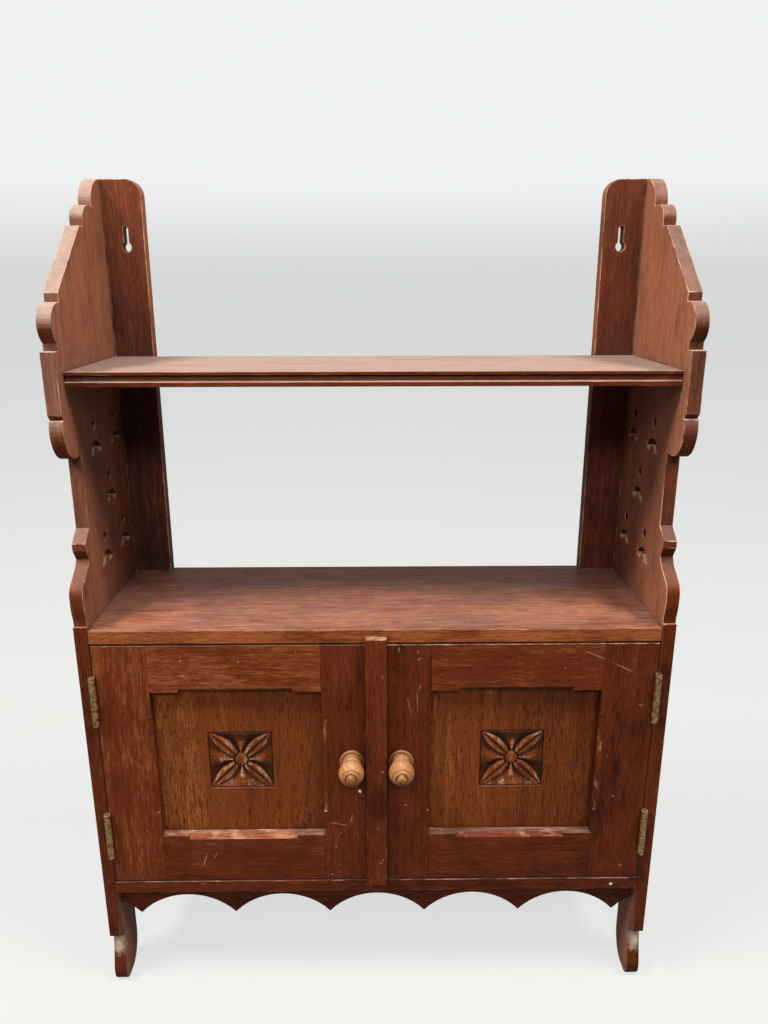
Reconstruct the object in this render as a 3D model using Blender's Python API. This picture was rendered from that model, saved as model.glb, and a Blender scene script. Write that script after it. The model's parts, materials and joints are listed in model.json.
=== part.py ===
"""Spice cabinet: shaped sides, a moulded shelf, a counter and a two-door cupboard.

Units are metres and +Z is up. The front faces -Y, and the origin lies on the floor under
the middle of the overall box. Inside the script, places are given in cabinet coordinates:
x from the centre line, y from the sides' front edge towards the wall, z from the floor.
"""

import math

import bmesh
import bpy
from mathutils import Matrix, Vector

MM = 0.001

# Fits
SEAT_GAP = 0.3 * MM
SCREW_CLEARANCE = 0.25 * MM
CUTTER_OVERRUN = 2 * MM

# Side boards
OVERALL_WIDTH = 550 * MM
OVERALL_HEIGHT = 802 * MM
SIDE_DEPTH = 168 * MM
SIDE_THICKNESS = 12.5 * MM

# Boards housed in the sides
SHELF_TOP = 635 * MM
SHELF_THICKNESS = 12.7 * MM
SHELF_SETBACK = 12.5 * MM
COUNTER_TOP = 403 * MM
COUNTER_THICKNESS = 13 * MM
BOTTOM_TOP = 129 * MM
BOTTOM_THICKNESS = 13.4 * MM
HOUSING_DEPTH = 4 * MM
HOUSING_STOP = 14 * MM

# Moulding on the shelf's front edge
SHELF_FILLET_HEIGHT = 2.8 * MM
SHELF_BEAD_HEIGHT = 4 * MM
SHELF_COVE_DEPTH = 3 * MM

# Front outline of the sides, from the top down: reaches from the back edge, setbacks from the
# front edge, drops below the top, rises above the shelf or the counter, and radii across and
# along the edge
CREST_REACH = 41 * MM
CREST_RADII = (31 * MM, 25 * MM)
CREST_DROP = 26.5 * MM
STEP_REACH = 68 * MM
STEP_RADII = (17 * MM, 13 * MM)
STEP_DROP = 46 * MM
SLOPE_TOP_REACH = 79 * MM
SLOPE_FOOT_SETBACK = 22 * MM
SLOPE_FOOT_RISE = 64.5 * MM
UPPER_LOBE_RISE = 57 * MM
UPPER_LOBE_RADII = (18.8 * MM, 18 * MM)
UPPER_LOBE_END_ANGLE = 235
BLOCK_RISE = 18 * MM
BLOCK_DROP = 35 * MM
BLOCK_NOTCH = 4 * MM
LOWER_LOBE_DROP = 76 * MM
LOWER_LOBE_RADII = (22 * MM, 27 * MM)
LOWER_LOBE_START_ANGLE = 160
WAIST_SETBACK = 34 * MM
WAIST_RISE = 88 * MM
TONGUE_SETBACK = 19.5 * MM
TONGUE_RISE = 77.4 * MM
TONGUE_HEIGHT = 6.7 * MM
THROAT_SETBACK = 25.5 * MM
THROAT_RISE = 61 * MM
SWELL_RISE = 32 * MM
SWELL_FOOT_RISE = 9 * MM
SWELL_FOOT_SETBACK = 2.7 * MM
LEDGE_RISE = 4 * MM
ARC_STEPS = 12

# Legs
LEG_DEPTH = 45 * MM
ARCH_TOP = 100 * MM
ARCH_RADIUS = 25 * MM
TOE_TOP = 62 * MM
TOE_NOTCH = 10 * MM
TOE_SLOPE = 5 * MM
TOE_TIP_HEIGHT = 22 * MM
TOE_TIP_SETBACK = 3 * MM
SOLE_FRONT = 14 * MM
SOLE_LENGTH = 8 * MM
HEEL_HEIGHT = 32 * MM
REAR_SOLE_LENGTH = 25 * MM
LEG_CHAMFER_WIDTH = 3 * MM
LEG_CHAMFER_DEPTH = 9 * MM
LEG_CHAMFER_OVERRUN = 0.05

# Pierced ornament: a drilled hole over an arched slot, at the corners of an oblong and between
PIERCING_DIAMETER = 9 * MM
PIERCING_RISE = 20.5 * MM
PIERCING_SIDES = 16
SLOT_OUTER_RADII = (15.5 * MM, 12 * MM)
SLOT_INNER_RADII = (5.5 * MM, 5.5 * MM)
SLOT_FOOT_DROP = 6 * MM
MOTIF_SPACING_Y = 57.5 * MM
MOTIF_SPACING_Z = 109 * MM
MOTIF_CENTRE_SETBACK = 101.5 * MM
MOTIF_CENTRE_DROP = 8 * MM

# Back stiles and their keyhole hangers
BACK_STILE_WIDTH = 39 * MM
BACK_STILE_THICKNESS = 13 * MM
BACK_STILE_RADIUS = 15 * MM
KEYHOLE_DIAMETER = 9 * MM
KEYHOLE_SLOT_WIDTH = 4.8 * MM
KEYHOLE_SLOT_RISE = 19 * MM
KEYHOLE_DROP = 62 * MM
KEYHOLE_INSET = 21 * MM

# Apron
APRON_SETBACK = 12 * MM
APRON_THICKNESS = 10 * MM
APRON_DEPTH = 35 * MM
SCALLOP_WIDTH = 97.4 * MM
SCALLOP_RISE = 22 * MM
SCALLOP_STEPS = 16

# Back panel, glued behind the bottom board and in a rebate of the counter
BACK_PANEL_THICKNESS = 4 * MM
BACK_PANEL_SETBACK = 1 * MM
BACK_PANEL_REBATE = 7 * MM

# Doors
DOOR_THICKNESS = 19 * MM
DOOR_SIDE_GAP = 1 * MM
DOOR_TOP_GAP = 1.8 * MM
DOOR_BOTTOM_GAP = 2 * MM
DOOR_MEETING_GAP = 2.6 * MM
DOOR_STILE_WIDTH = 50 * MM
TOP_RAIL_WIDTH = 48 * MM
BOTTOM_RAIL_WIDTH = 52 * MM
PANEL_RECESS = 10 * MM
PANEL_THICKNESS = 5 * MM
GROOVE_DEPTH = 8 * MM
PANEL_PLAY = 0.8 * MM
CHAMFER = 4 * MM
CHAMFER_STOP = 27 * MM

# Carved rosette
ROSETTE_SIZE = 60.6 * MM
ROSETTE_DEPTH = 2.6 * MM
ROSETTE_MARGIN = 1.6 * MM
ROSETTE_BOSS_RADIUS = 5.6 * MM
PETAL_HALF_WIDTH = 6.2 * MM
PETAL_ROOT_SHARE = 0.15
PETAL_TIP_SHARE = 0.93
PETAL_STEPS = 8

# Door stop
STOP_WIDTH = 60 * MM
STOP_DEPTH = 14 * MM
STOP_HEIGHT = 12 * MM

# Cover strip over the meeting of the doors
STRIP_WIDTH = 19.5 * MM
STRIP_THICKNESS = 8.5 * MM
STRIP_TOP_LAP = 7 * MM
STRIP_FOOT_GAP = 1 * MM
NAIL_OFFSET = 5.8 * MM
NAIL_SPACING = 100 * MM
NAIL_LENGTH = 20 * MM
NAIL_RADIUS = 0.8 * MM
NAIL_HEAD_RADIUS = 1.4 * MM
NAIL_HEAD = 0.6 * MM

# Turned knobs, lengths measured out from the door's face
KNOB_OFFSET = 23.5 * MM
KNOB_RISE = 7.4 * MM
KNOB_LENGTH = 36 * MM
KNOB_COLLAR_RADIUS = 11.4 * MM
KNOB_COLLAR_LENGTH = 4.5 * MM
KNOB_NECK_RADIUS = 7.2 * MM
KNOB_NECK_LENGTH = 9.5 * MM
KNOB_BALL_RADIUS = 12 * MM
KNOB_BUTTON_RADIUS = 4.6 * MM
KNOB_BUTTON_LENGTH = 3 * MM
KNOB_BORE_LENGTH = 18 * MM
KNOB_SCREW_RADIUS = 2 * MM
KNOB_SCREW_HEAD_RADIUS = 4 * MM
KNOB_SCREW_HEAD = 2.4 * MM
KNOB_SIDES = 40

# Butt hinges
HINGE_LENGTH = 50 * MM
HINGE_INSET = 55 * MM
KNUCKLE_COUNT = 5
KNUCKLE_RADIUS = 3.2 * MM
KNUCKLE_BORE_RADIUS = 1.65 * MM
HINGE_PIN_RADIUS = 1.3 * MM
LEAF_THICKNESS = 1.2 * MM
LEAF_WIDTH = 18 * MM
LEAF_TAB_ROOT = 2.2 * MM
KNUCKLE_SIDES = 24
HINGE_SCREW_SPACING = 30 * MM
HINGE_SCREW_LENGTH = 10 * MM
HINGE_SCREW_POINT = 3 * MM
HINGE_SCREW_RADIUS = 1.4 * MM
HINGE_SCREW_HEAD_RADIUS = 2.6 * MM
FASTENER_SIDES = 10

# Worked out from the sizes above
INNER_HALF = OVERALL_WIDTH / 2 - SIDE_THICKNESS
FRONT_Y = (KNOB_LENGTH - SIDE_DEPTH) / 2
STILE_FRONT = SIDE_DEPTH - BACK_STILE_THICKNESS
COUNTER_UNDER = COUNTER_TOP - COUNTER_THICKNESS
BOTTOM_UNDER = BOTTOM_TOP - BOTTOM_THICKNESS
SHELF_UNDER = SHELF_TOP - SHELF_THICKNESS
DOOR_BOTTOM = BOTTOM_TOP + DOOR_BOTTOM_GAP
DOOR_TOP = COUNTER_UNDER - DOOR_TOP_GAP
DOOR_MIDDLE = (DOOR_TOP + DOOR_BOTTOM) / 2
KNOB_HEIGHT = DOOR_MIDDLE + KNOB_RISE
HINGE_EDGE = INNER_HALF - DOOR_SIDE_GAP
MEETING_EDGE = DOOR_MEETING_GAP / 2
AXIS_X = INNER_HALF - DOOR_SIDE_GAP / 2
AXIS_Y = -(KNUCKLE_RADIUS + SEAT_GAP)
OPENING_INNER = MEETING_EDGE + DOOR_STILE_WIDTH
OPENING_OUTER = HINGE_EDGE - DOOR_STILE_WIDTH
OPENING_BOTTOM = DOOR_BOTTOM + BOTTOM_RAIL_WIDTH
OPENING_TOP = DOOR_TOP - TOP_RAIL_WIDTH
OPENING_WIDTH = OPENING_OUTER - OPENING_INNER
OPENING_HEIGHT = OPENING_TOP - OPENING_BOTTOM
OPENING_MIDDLE = (OPENING_OUTER + OPENING_INNER) / 2
HINGE_HEIGHTS = {"upper": DOOR_TOP - HINGE_INSET, "lower": DOOR_BOTTOM + HINGE_INSET}
LEAF_FRONT = KNUCKLE_RADIUS + SEAT_GAP
LEAF_SCREW_Y = (LEAF_FRONT + LEAF_WIDTH) / 2
LEAF_SCREW_OFFSETS = (HINGE_SCREW_SPACING / 2, -HINGE_SCREW_SPACING / 2)
BACK_PANEL_REAR = SIDE_DEPTH - BACK_PANEL_SETBACK
BACK_PANEL_FRONT = BACK_PANEL_REAR - BACK_PANEL_THICKNESS
SIGNS = {"left": -1, "right": 1}


def clear_scene():
    for old in list(bpy.data.objects):
        bpy.data.objects.remove(old, do_unlink=True)


def make_material(name, colour, roughness, metallic=0.0):
    material = bpy.data.materials.new(name)
    material.use_nodes = True
    shader = material.node_tree.nodes["Principled BSDF"]
    shader.inputs["Base Color"].default_value = (*colour, 1.0)
    shader.inputs["Roughness"].default_value = roughness
    shader.inputs["Metallic"].default_value = metallic
    return material


def make_empty(name, location, parent=None):
    empty = bpy.data.objects.new(name, None)
    empty.location = location
    empty.parent = parent
    bpy.context.scene.collection.objects.link(empty)
    return empty


def cabinet_place(parent):
    """An empty's place in cabinet coordinates: the cabinet's own empty is their origin."""
    return parent.location if parent.parent else Vector()


def place(name, shape, material, parent, at, smooth=False):
    """Make one object of a bmesh; at is its origin in cabinet coordinates."""
    bmesh.ops.recalc_face_normals(shape, faces=shape.faces)
    mesh = bpy.data.meshes.new(name)
    shape.to_mesh(mesh)
    shape.free()
    if smooth:
        mesh.shade_smooth()
        mesh.set_sharp_from_angle(angle=math.radians(35))
    made = bpy.data.objects.new(name, mesh)
    made.parent = parent
    made.location = Vector(at) - cabinet_place(parent)
    if material:
        mesh.materials.append(material)
    bpy.context.scene.collection.objects.link(made)
    return made


def modify(target, shape, operation="DIFFERENCE"):
    """Cut a bmesh, given in the target's own coordinates, out of it, or join it on."""
    step = f"{target.name}_{operation.lower()}_{len(target.modifiers)}"
    at = cabinet_place(target.parent) + target.location
    tool = place(step, shape, None, target.parent, at)
    tool.hide_render = True
    tool.display_type = "WIRE"
    boolean = target.modifiers.new(step, "BOOLEAN")
    boolean.operation = operation
    boolean.solver = "EXACT"
    boolean.object = tool


def merged(shapes):
    """One bmesh that holds several separate bodies."""
    whole = bmesh.new()
    for shape in shapes:
        mesh = bpy.data.meshes.new("body")
        shape.to_mesh(mesh)
        shape.free()
        whole.from_mesh(mesh)
        bpy.data.meshes.remove(mesh)
    return whole


def box(low, high):
    low = Vector(low)
    high = Vector(high)
    shape = bmesh.new()
    bmesh.ops.create_cube(shape, size=1)
    bmesh.ops.scale(shape, verts=shape.verts, vec=high - low)
    bmesh.ops.translate(shape, verts=shape.verts, vec=(high + low) / 2)
    return shape


def without_repeats(points):
    """Drop points that fall on the one before them, also round the closing corner."""
    kept = []
    for index, point in enumerate(points):
        if math.dist(point, points[index - 1]) > 1e-7:
            kept.append(point)
    return kept


def prism(outline, axis, start, end):
    """Closed solid of a flat outline, pushed along an axis from start to end."""
    direction = Vector((axis == "X", axis == "Y", axis == "Z"))
    frames = {"X": "yz", "Y": "xz", "Z": "xy"}
    shape = bmesh.new()
    corners = []
    for first, second in without_repeats(outline):
        corner = direction * start
        setattr(corner, frames[axis][0], first)
        setattr(corner, frames[axis][1], second)
        corners.append(shape.verts.new(corner))
    face = shape.faces.new(corners)
    pushed = bmesh.ops.extrude_face_region(shape, geom=[face])["geom"]
    moving = [item for item in pushed if isinstance(item, bmesh.types.BMVert)]
    bmesh.ops.translate(shape, verts=moving, vec=direction * (end - start))
    bmesh.ops.recalc_face_normals(shape, faces=shape.faces)
    return shape


def turned(profile, sides, direction, at=(0, 0, 0), closed=False):
    """Lathe a profile of (radius, length) points, with its lengths running along direction."""
    shape = bmesh.new()
    corners = [shape.verts.new((radius, 0, length)) for radius, length in profile]
    for first, second in zip(corners, corners[1:]):
        shape.edges.new((first, second))
    if closed:
        shape.edges.new((corners[-1], corners[0]))
    bmesh.ops.spin(
        shape,
        geom=shape.verts[:] + shape.edges[:],
        cent=(0, 0, 0),
        axis=(0, 0, 1),
        angle=math.tau,
        steps=sides,
        use_merge=True,
    )
    bmesh.ops.remove_doubles(shape, verts=shape.verts, dist=1e-7)
    turn = Vector((0, 0, 1)).rotation_difference(Vector(direction)).to_matrix().to_4x4()
    shape.transform(Matrix.Translation(at) @ turn)
    bmesh.ops.recalc_face_normals(shape, faces=shape.faces)
    return shape


def rod(radius, start, end, sides, direction, at=(0, 0, 0)):
    profile = [(0, start), (radius, start), (radius, end), (0, end)]
    return turned(profile, sides, direction, at)


def headed(head_radius, head, radius, length, direction, at=(0, 0, 0), grow=0.0, overrun=0.0):
    """A nail with a flat head, or the hole that clears it by grow."""
    profile = [
        (0, -overrun),
        (head_radius + grow, -overrun),
        (head_radius + grow, head + grow),
        (radius + grow, head + grow),
        (radius + grow, length + grow),
        (0, length + grow),
    ]
    return turned(profile, FASTENER_SIDES, direction, at)


def arc(centre, radii, start, end, steps=ARC_STEPS):
    """Points on an ellipse, with angles in degrees from the first axis towards the second."""
    points = []
    for step in range(steps + 1):
        angle = math.radians(start + (end - start) * step / steps)
        across = centre[0] + radii[0] * math.cos(angle)
        along = centre[1] + radii[1] * math.sin(angle)
        points.append((across, along))
    return points


def curve(first, second, third, fourth, steps=ARC_STEPS):
    """Points on a cubic curve from first to fourth, pulled by the two between."""
    points = []
    for step in range(steps + 1):
        t = step / steps
        weights = ((1 - t) ** 3, 3 * t * (1 - t) ** 2, 3 * t * t * (1 - t), t**3)
        pulls = (first, second, third, fourth)
        across = sum(weight * pull[0] for weight, pull in zip(weights, pulls))
        along = sum(weight * pull[1] for weight, pull in zip(weights, pulls))
        points.append((across, along))
    return points


def upper_outline():
    """Front edge of a side as (y, z), from the back of the crest down to the shelf's block."""
    top = OVERALL_HEIGHT
    crest_front = SIDE_DEPTH - CREST_REACH
    step_front = SIDE_DEPTH - STEP_REACH
    crest_centre = (crest_front + CREST_RADII[0], top - CREST_RADII[1])
    step_centre = (step_front + STEP_RADII[0], top - CREST_DROP - STEP_RADII[1])
    lobe_top = SHELF_TOP + UPPER_LOBE_RISE
    lobe_centre = (UPPER_LOBE_RADII[0], lobe_top - UPPER_LOBE_RADII[1])
    lobe = arc(lobe_centre, UPPER_LOBE_RADII, 90, UPPER_LOBE_END_ANGLE)
    block_top = SHELF_TOP + BLOCK_RISE
    block_foot = SHELF_TOP - BLOCK_DROP
    return [
        (SIDE_DEPTH, top),
        *arc(crest_centre, CREST_RADII, 90, 180),
        (crest_front, top - CREST_DROP),
        *arc(step_centre, STEP_RADII, 90, 180),
        (step_front, top - STEP_DROP),
        (SIDE_DEPTH - SLOPE_TOP_REACH, top - STEP_DROP),
        (SLOPE_FOOT_SETBACK, SHELF_TOP + SLOPE_FOOT_RISE),
        (SLOPE_FOOT_SETBACK, lobe_top),
        *lobe,
        (lobe[-1][0], block_top),
        (0, block_top),
        (0, block_foot),
        (BLOCK_NOTCH, block_foot - BLOCK_NOTCH),
    ]


def waist_outline():
    """Front edge from the lobe under the shelf down to the counter."""
    lobe_foot = SHELF_TOP - LOWER_LOBE_DROP
    lobe_centre = (LOWER_LOBE_RADII[0], lobe_foot + LOWER_LOBE_RADII[1])
    tongue_top = COUNTER_TOP + TONGUE_RISE
    throat = (THROAT_SETBACK, COUNTER_TOP + THROAT_RISE)
    swell = (0, COUNTER_TOP + SWELL_RISE)
    swell_pull = (throat[1] - swell[1]) / 2
    foot = (SWELL_FOOT_SETBACK, COUNTER_TOP + SWELL_FOOT_RISE)
    foot_pull = (swell[1] - foot[1]) / 2
    ledge = COUNTER_TOP + LEDGE_RISE
    return [
        *arc(lobe_centre, LOWER_LOBE_RADII, LOWER_LOBE_START_ANGLE, 270),
        (WAIST_SETBACK, lobe_foot),
        (WAIST_SETBACK, COUNTER_TOP + WAIST_RISE),
        (TONGUE_SETBACK, tongue_top),
        (TONGUE_SETBACK, tongue_top - TONGUE_HEIGHT),
        *curve(throat, (TONGUE_SETBACK, throat[1] - swell_pull), (0, swell[1] + swell_pull), swell),
        *curve(swell, (0, swell[1] - foot_pull), (0, foot[1] + foot_pull), foot),
        (SWELL_FOOT_SETBACK, ledge),
        (0, ledge),
    ]


def leg_outline():
    """Edge from the front of the toe round the soles and the arch to the foot's back corner."""
    notch = (TOE_NOTCH, TOE_TOP - TOE_SLOPE)
    tip = (TOE_TIP_SETBACK, TOE_TIP_HEIGHT)
    scoop_pull = (notch[1] - tip[1]) / 3
    sole_rear = SOLE_FRONT + SOLE_LENGTH
    arch_spring = ARCH_TOP - ARCH_RADIUS
    round_radii = (ARCH_RADIUS, ARCH_RADIUS)
    rear_leg = SIDE_DEPTH - LEG_DEPTH
    return [
        (0, TOE_TOP),
        *curve(notch, (TOE_NOTCH, notch[1] - scoop_pull), (2 * TOE_TIP_SETBACK, tip[1] + scoop_pull), tip),
        *curve(tip, (0, tip[1] / 2), (TOE_TIP_SETBACK, 0), (SOLE_FRONT, 0)),
        *arc((sole_rear, HEEL_HEIGHT), (LEG_DEPTH - sole_rear, HEEL_HEIGHT), 270, 360),
        *arc((LEG_DEPTH + ARCH_RADIUS, arch_spring), round_radii, 180, 90),
        *arc((rear_leg - ARCH_RADIUS, arch_spring), round_radii, 90, 0),
        (rear_leg, HEEL_HEIGHT),
        (SIDE_DEPTH - REAR_SOLE_LENGTH, 0),
        (SIDE_DEPTH, 0),
    ]


def piercings():
    """Motifs cut through a side, as solids along x: a round hole over an arched slot each."""
    middle = (COUNTER_TOP + SHELF_UNDER) / 2 - MOTIF_CENTRE_DROP
    corners = [(across, along) for across in (-0.5, 0.5) for along in (-0.5, 0.5)]
    reach = SIDE_THICKNESS + CUTTER_OVERRUN
    solids = []
    for across, along in [(0, 0), *corners]:
        y = MOTIF_CENTRE_SETBACK + across * MOTIF_SPACING_Y
        z = middle + along * MOTIF_SPACING_Z
        hole = (0, y, z + PIERCING_RISE)
        solids.append(rod(PIERCING_DIAMETER / 2, -reach, reach, PIERCING_SIDES, (1, 0, 0), hole))
        foot = (y, z - SLOT_FOOT_DROP)
        slot = arc(foot, SLOT_OUTER_RADII, 0, 180) + arc(foot, SLOT_INNER_RADII, 180, 0)
        solids.append(prism(slot, "X", -reach, reach))
    return solids


def leg_chamfer(sign):
    """Tapered cut on the leg's inner front corner, from nothing at the bottom board to the toe."""
    foot = TOE_TOP - TOE_SLOPE
    rise = (BOTTOM_UNDER - foot) * LEG_CHAMFER_OVERRUN
    across = sign * LEG_CHAMFER_WIDTH
    shape = bmesh.new()
    corners = [
        (-across * LEG_CHAMFER_OVERRUN, -LEG_CHAMFER_DEPTH * LEG_CHAMFER_OVERRUN, BOTTOM_UNDER + 2 * rise),
        (across, 0, foot),
        (0, LEG_CHAMFER_DEPTH, foot),
        (-across, -LEG_CHAMFER_DEPTH, foot),
    ]
    tips = [shape.verts.new(corner) for corner in corners]
    bmesh.ops.convex_hull(shape, input=tips)
    return shape


def outward_box(sign, depth, low, high):
    """Box from in front of a side's inner face to depth inside it; low and high are (y, z)."""
    near = -sign * CUTTER_OVERRUN
    far = sign * depth
    return box((min(near, far), *low), (max(near, far), *high))


def hinge_screw_heights():
    return [middle + offset for middle in HINGE_HEIGHTS.values() for offset in LEAF_SCREW_OFFSETS]


def build_side(side, wood, cabinet):
    sign = SIGNS[side]
    outline = upper_outline() + waist_outline() + leg_outline()
    board = prism(outline, "X", 0, sign * SIDE_THICKNESS)
    made = place(f"{side}_side", board, wood, cabinet, (sign * INNER_HALF, 0, 0))
    housings = []
    boards = [
        (SHELF_SETBACK, SHELF_UNDER, SHELF_TOP, STILE_FRONT),
        (0, COUNTER_UNDER, COUNTER_TOP, SIDE_DEPTH + CUTTER_OVERRUN),
        (0, BOTTOM_UNDER, BOTTOM_TOP, SIDE_DEPTH + CUTTER_OVERRUN),
    ]
    for front, under, top, rear in boards:
        low = (front + HOUSING_STOP, under - SEAT_GAP)
        high = (rear, top + SEAT_GAP)
        housings.append(outward_box(sign, HOUSING_DEPTH + SEAT_GAP, low, high))
    for middle in HINGE_HEIGHTS.values():
        reach = HINGE_LENGTH / 2 + SEAT_GAP
        low = (-CUTTER_OVERRUN, middle - reach)
        high = (AXIS_Y + LEAF_WIDTH + SEAT_GAP, middle + reach)
        housings.append(outward_box(sign, LEAF_THICKNESS + SEAT_GAP, low, high))
    modify(made, merged([*housings, leg_chamfer(sign)]))
    holes = []
    for height in hinge_screw_heights():
        at = (0, AXIS_Y + LEAF_SCREW_Y, height)
        radius = HINGE_SCREW_RADIUS + SCREW_CLEARANCE
        depth = HINGE_SCREW_LENGTH + SCREW_CLEARANCE
        holes.append(rod(radius, -CUTTER_OVERRUN, depth, FASTENER_SIDES, (sign, 0, 0), at))
    modify(made, merged(holes + piercings()))


def housed_plan(front, rear):
    """Plan of a board whose ends are let into the sides behind a short shoulder."""
    shoulder = INNER_HALF - SEAT_GAP
    tongue = INNER_HALF + HOUSING_DEPTH
    step = front + HOUSING_STOP + SEAT_GAP
    right = [(shoulder, front), (shoulder, step), (tongue, step), (tongue, rear)]
    left = [(-x, y) for x, y in reversed(right)]
    return right + left


def build_shelf(wood, cabinet):
    rear = STILE_FRONT - SEAT_GAP
    plan = housed_plan(SHELF_SETBACK, rear)
    made = place("shelf", prism(plan, "Z", SHELF_UNDER, SHELF_TOP), wood, cabinet, (0, 0, 0))
    fillet_foot = SHELF_TOP - SHELF_FILLET_HEIGHT
    bead_top = SHELF_UNDER + SHELF_BEAD_HEIGHT
    cove_radii = (SHELF_COVE_DEPTH, fillet_foot - bead_top)
    cove = arc((SHELF_SETBACK, fillet_foot), cove_radii, 360, 270)
    outer = SHELF_SETBACK - CUTTER_OVERRUN
    cutter = [(outer, bead_top), (outer, fillet_foot), *cove]
    reach = INNER_HALF + CUTTER_OVERRUN
    modify(made, prism(cutter, "X", -reach, reach))


def build_boards(wood, cabinet):
    rebate_front = BACK_PANEL_FRONT - SEAT_GAP
    plan = housed_plan(0, SIDE_DEPTH)
    counter = place("counter", prism(plan, "Z", COUNTER_UNDER, COUNTER_TOP), wood, cabinet, (0, 0, 0))
    reach = INNER_HALF + HOUSING_DEPTH + CUTTER_OVERRUN
    low = (-reach, rebate_front, COUNTER_UNDER - CUTTER_OVERRUN)
    high = (reach, SIDE_DEPTH + CUTTER_OVERRUN, COUNTER_UNDER + BACK_PANEL_REBATE)
    modify(counter, box(low, high))
    plan = housed_plan(0, rebate_front)
    place("bottom_board", prism(plan, "Z", BOTTOM_UNDER, BOTTOM_TOP), wood, cabinet, (0, 0, 0))


def build_back_panel(wood, cabinet):
    reach = INNER_HALF - SEAT_GAP
    low = (-reach, BACK_PANEL_FRONT, BOTTOM_UNDER)
    high = (reach, BACK_PANEL_REAR, COUNTER_UNDER + BACK_PANEL_REBATE - SEAT_GAP)
    place("back_panel", box(low, high), wood, cabinet, (0, 0, 0))


def build_back_stile(side, wood, cabinet):
    """Upright at the back corner, on the counter; its outline is (x from the side, z)."""
    sign = SIGNS[side]
    foot = COUNTER_TOP + SEAT_GAP
    corner = (BACK_STILE_WIDTH - BACK_STILE_RADIUS, OVERALL_HEIGHT - BACK_STILE_RADIUS)
    rounding = arc(corner, (BACK_STILE_RADIUS, BACK_STILE_RADIUS), 0, 90)
    outline = [(SEAT_GAP, foot), (BACK_STILE_WIDTH, foot), *rounding, (SEAT_GAP, OVERALL_HEIGHT)]
    outline = [(-sign * across, along) for across, along in outline]
    board = prism(outline, "Y", 0, BACK_STILE_THICKNESS)
    made = place(f"{side}_back_stile", board, wood, cabinet, (sign * INNER_HALF, STILE_FRONT, 0))
    hole = (-sign * KEYHOLE_INSET, OVERALL_HEIGHT - KEYHOLE_DROP)
    half_slot = KEYHOLE_SLOT_WIDTH / 2
    radius = KEYHOLE_DIAMETER / 2
    lean = math.degrees(math.asin(half_slot / radius))
    slot_centre = (hole[0], hole[1] + KEYHOLE_SLOT_RISE - half_slot)
    keyhole = [
        *arc(hole, (radius, radius), 90 + lean, 450 - lean, 2 * ARC_STEPS),
        *arc(slot_centre, (half_slot, half_slot), 0, 180),
    ]
    modify(made, prism(keyhole, "Y", -CUTTER_OVERRUN, BACK_STILE_THICKNESS + CUTTER_OVERRUN))


def build_apron(wood, cabinet):
    top = BOTTOM_UNDER - SEAT_GAP
    cusp = top - APRON_DEPTH
    half = SCALLOP_WIDTH / 2
    radius = (half * half + SCALLOP_RISE * SCALLOP_RISE) / (2 * SCALLOP_RISE)
    reach = INNER_HALF - SEAT_GAP
    lower = []
    stations = {-reach, reach}
    cusps = math.floor((reach / half + 1) / 2)
    for index in range(-cusps, cusps + 1):
        for step in range(SCALLOP_STEPS):
            x = (2 * index - 1) * half + 2 * half * step / SCALLOP_STEPS
            if abs(x) < reach - SEAT_GAP:
                stations.add(x)
    for across in sorted(stations):
        from_crown = across - 2 * half * round(across / (2 * half))
        rise = math.sqrt(radius * radius - from_crown * from_crown) - (radius - SCALLOP_RISE)
        lower.append((across, cusp + rise))
    outline = [*lower, (reach, top), (-reach, top)]
    board = prism(outline, "Y", 0, APRON_THICKNESS)
    place("apron", board, wood, cabinet, (0, APRON_SETBACK, 0))


def build_door_stop(wood, cabinet):
    front = DOOR_THICKNESS + SEAT_GAP
    top = COUNTER_UNDER - SEAT_GAP
    low = (-STOP_WIDTH / 2, front, top - STOP_HEIGHT)
    high = (STOP_WIDTH / 2, front + STOP_DEPTH, top)
    place("door_stop", box(low, high), wood, cabinet, (0, 0, 0))


def chamfer_outline(edge, towards):
    """Corner cut off a front inner edge, as (across, y); towards points at the opening."""
    over = CUTTER_OVERRUN
    return [
        (edge + towards * over, -over),
        (edge + towards * over, CHAMFER + over),
        (edge - towards * (CHAMFER + over), -over),
    ]


def groove_span():
    """Front and rear of the groove that holds the panel, as y."""
    return PANEL_RECESS - SEAT_GAP, PANEL_RECESS + PANEL_THICKNESS + SEAT_GAP


def build_stile(name, low_x, high_x, towards, wood, door):
    """Door stile from low_x to high_x, with its groove and chamfer on the side that towards names."""
    board = box((low_x, 0, DOOR_BOTTOM), (high_x, DOOR_THICKNESS, DOOR_TOP))
    made = place(name, board, wood, door, (0, 0, 0))
    edge = high_x if towards > 0 else low_x
    front, rear = groove_span()
    near = edge - towards * GROOVE_DEPTH
    far = edge + towards * CUTTER_OVERRUN
    low = (min(near, far), front, DOOR_BOTTOM - CUTTER_OVERRUN)
    high = (max(near, far), rear, DOOR_TOP + CUTTER_OVERRUN)
    modify(made, box(low, high))
    bottom = OPENING_BOTTOM + CHAMFER_STOP
    modify(made, prism(chamfer_outline(edge, towards), "Z", bottom, OPENING_TOP - CHAMFER_STOP))
    return made


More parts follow.
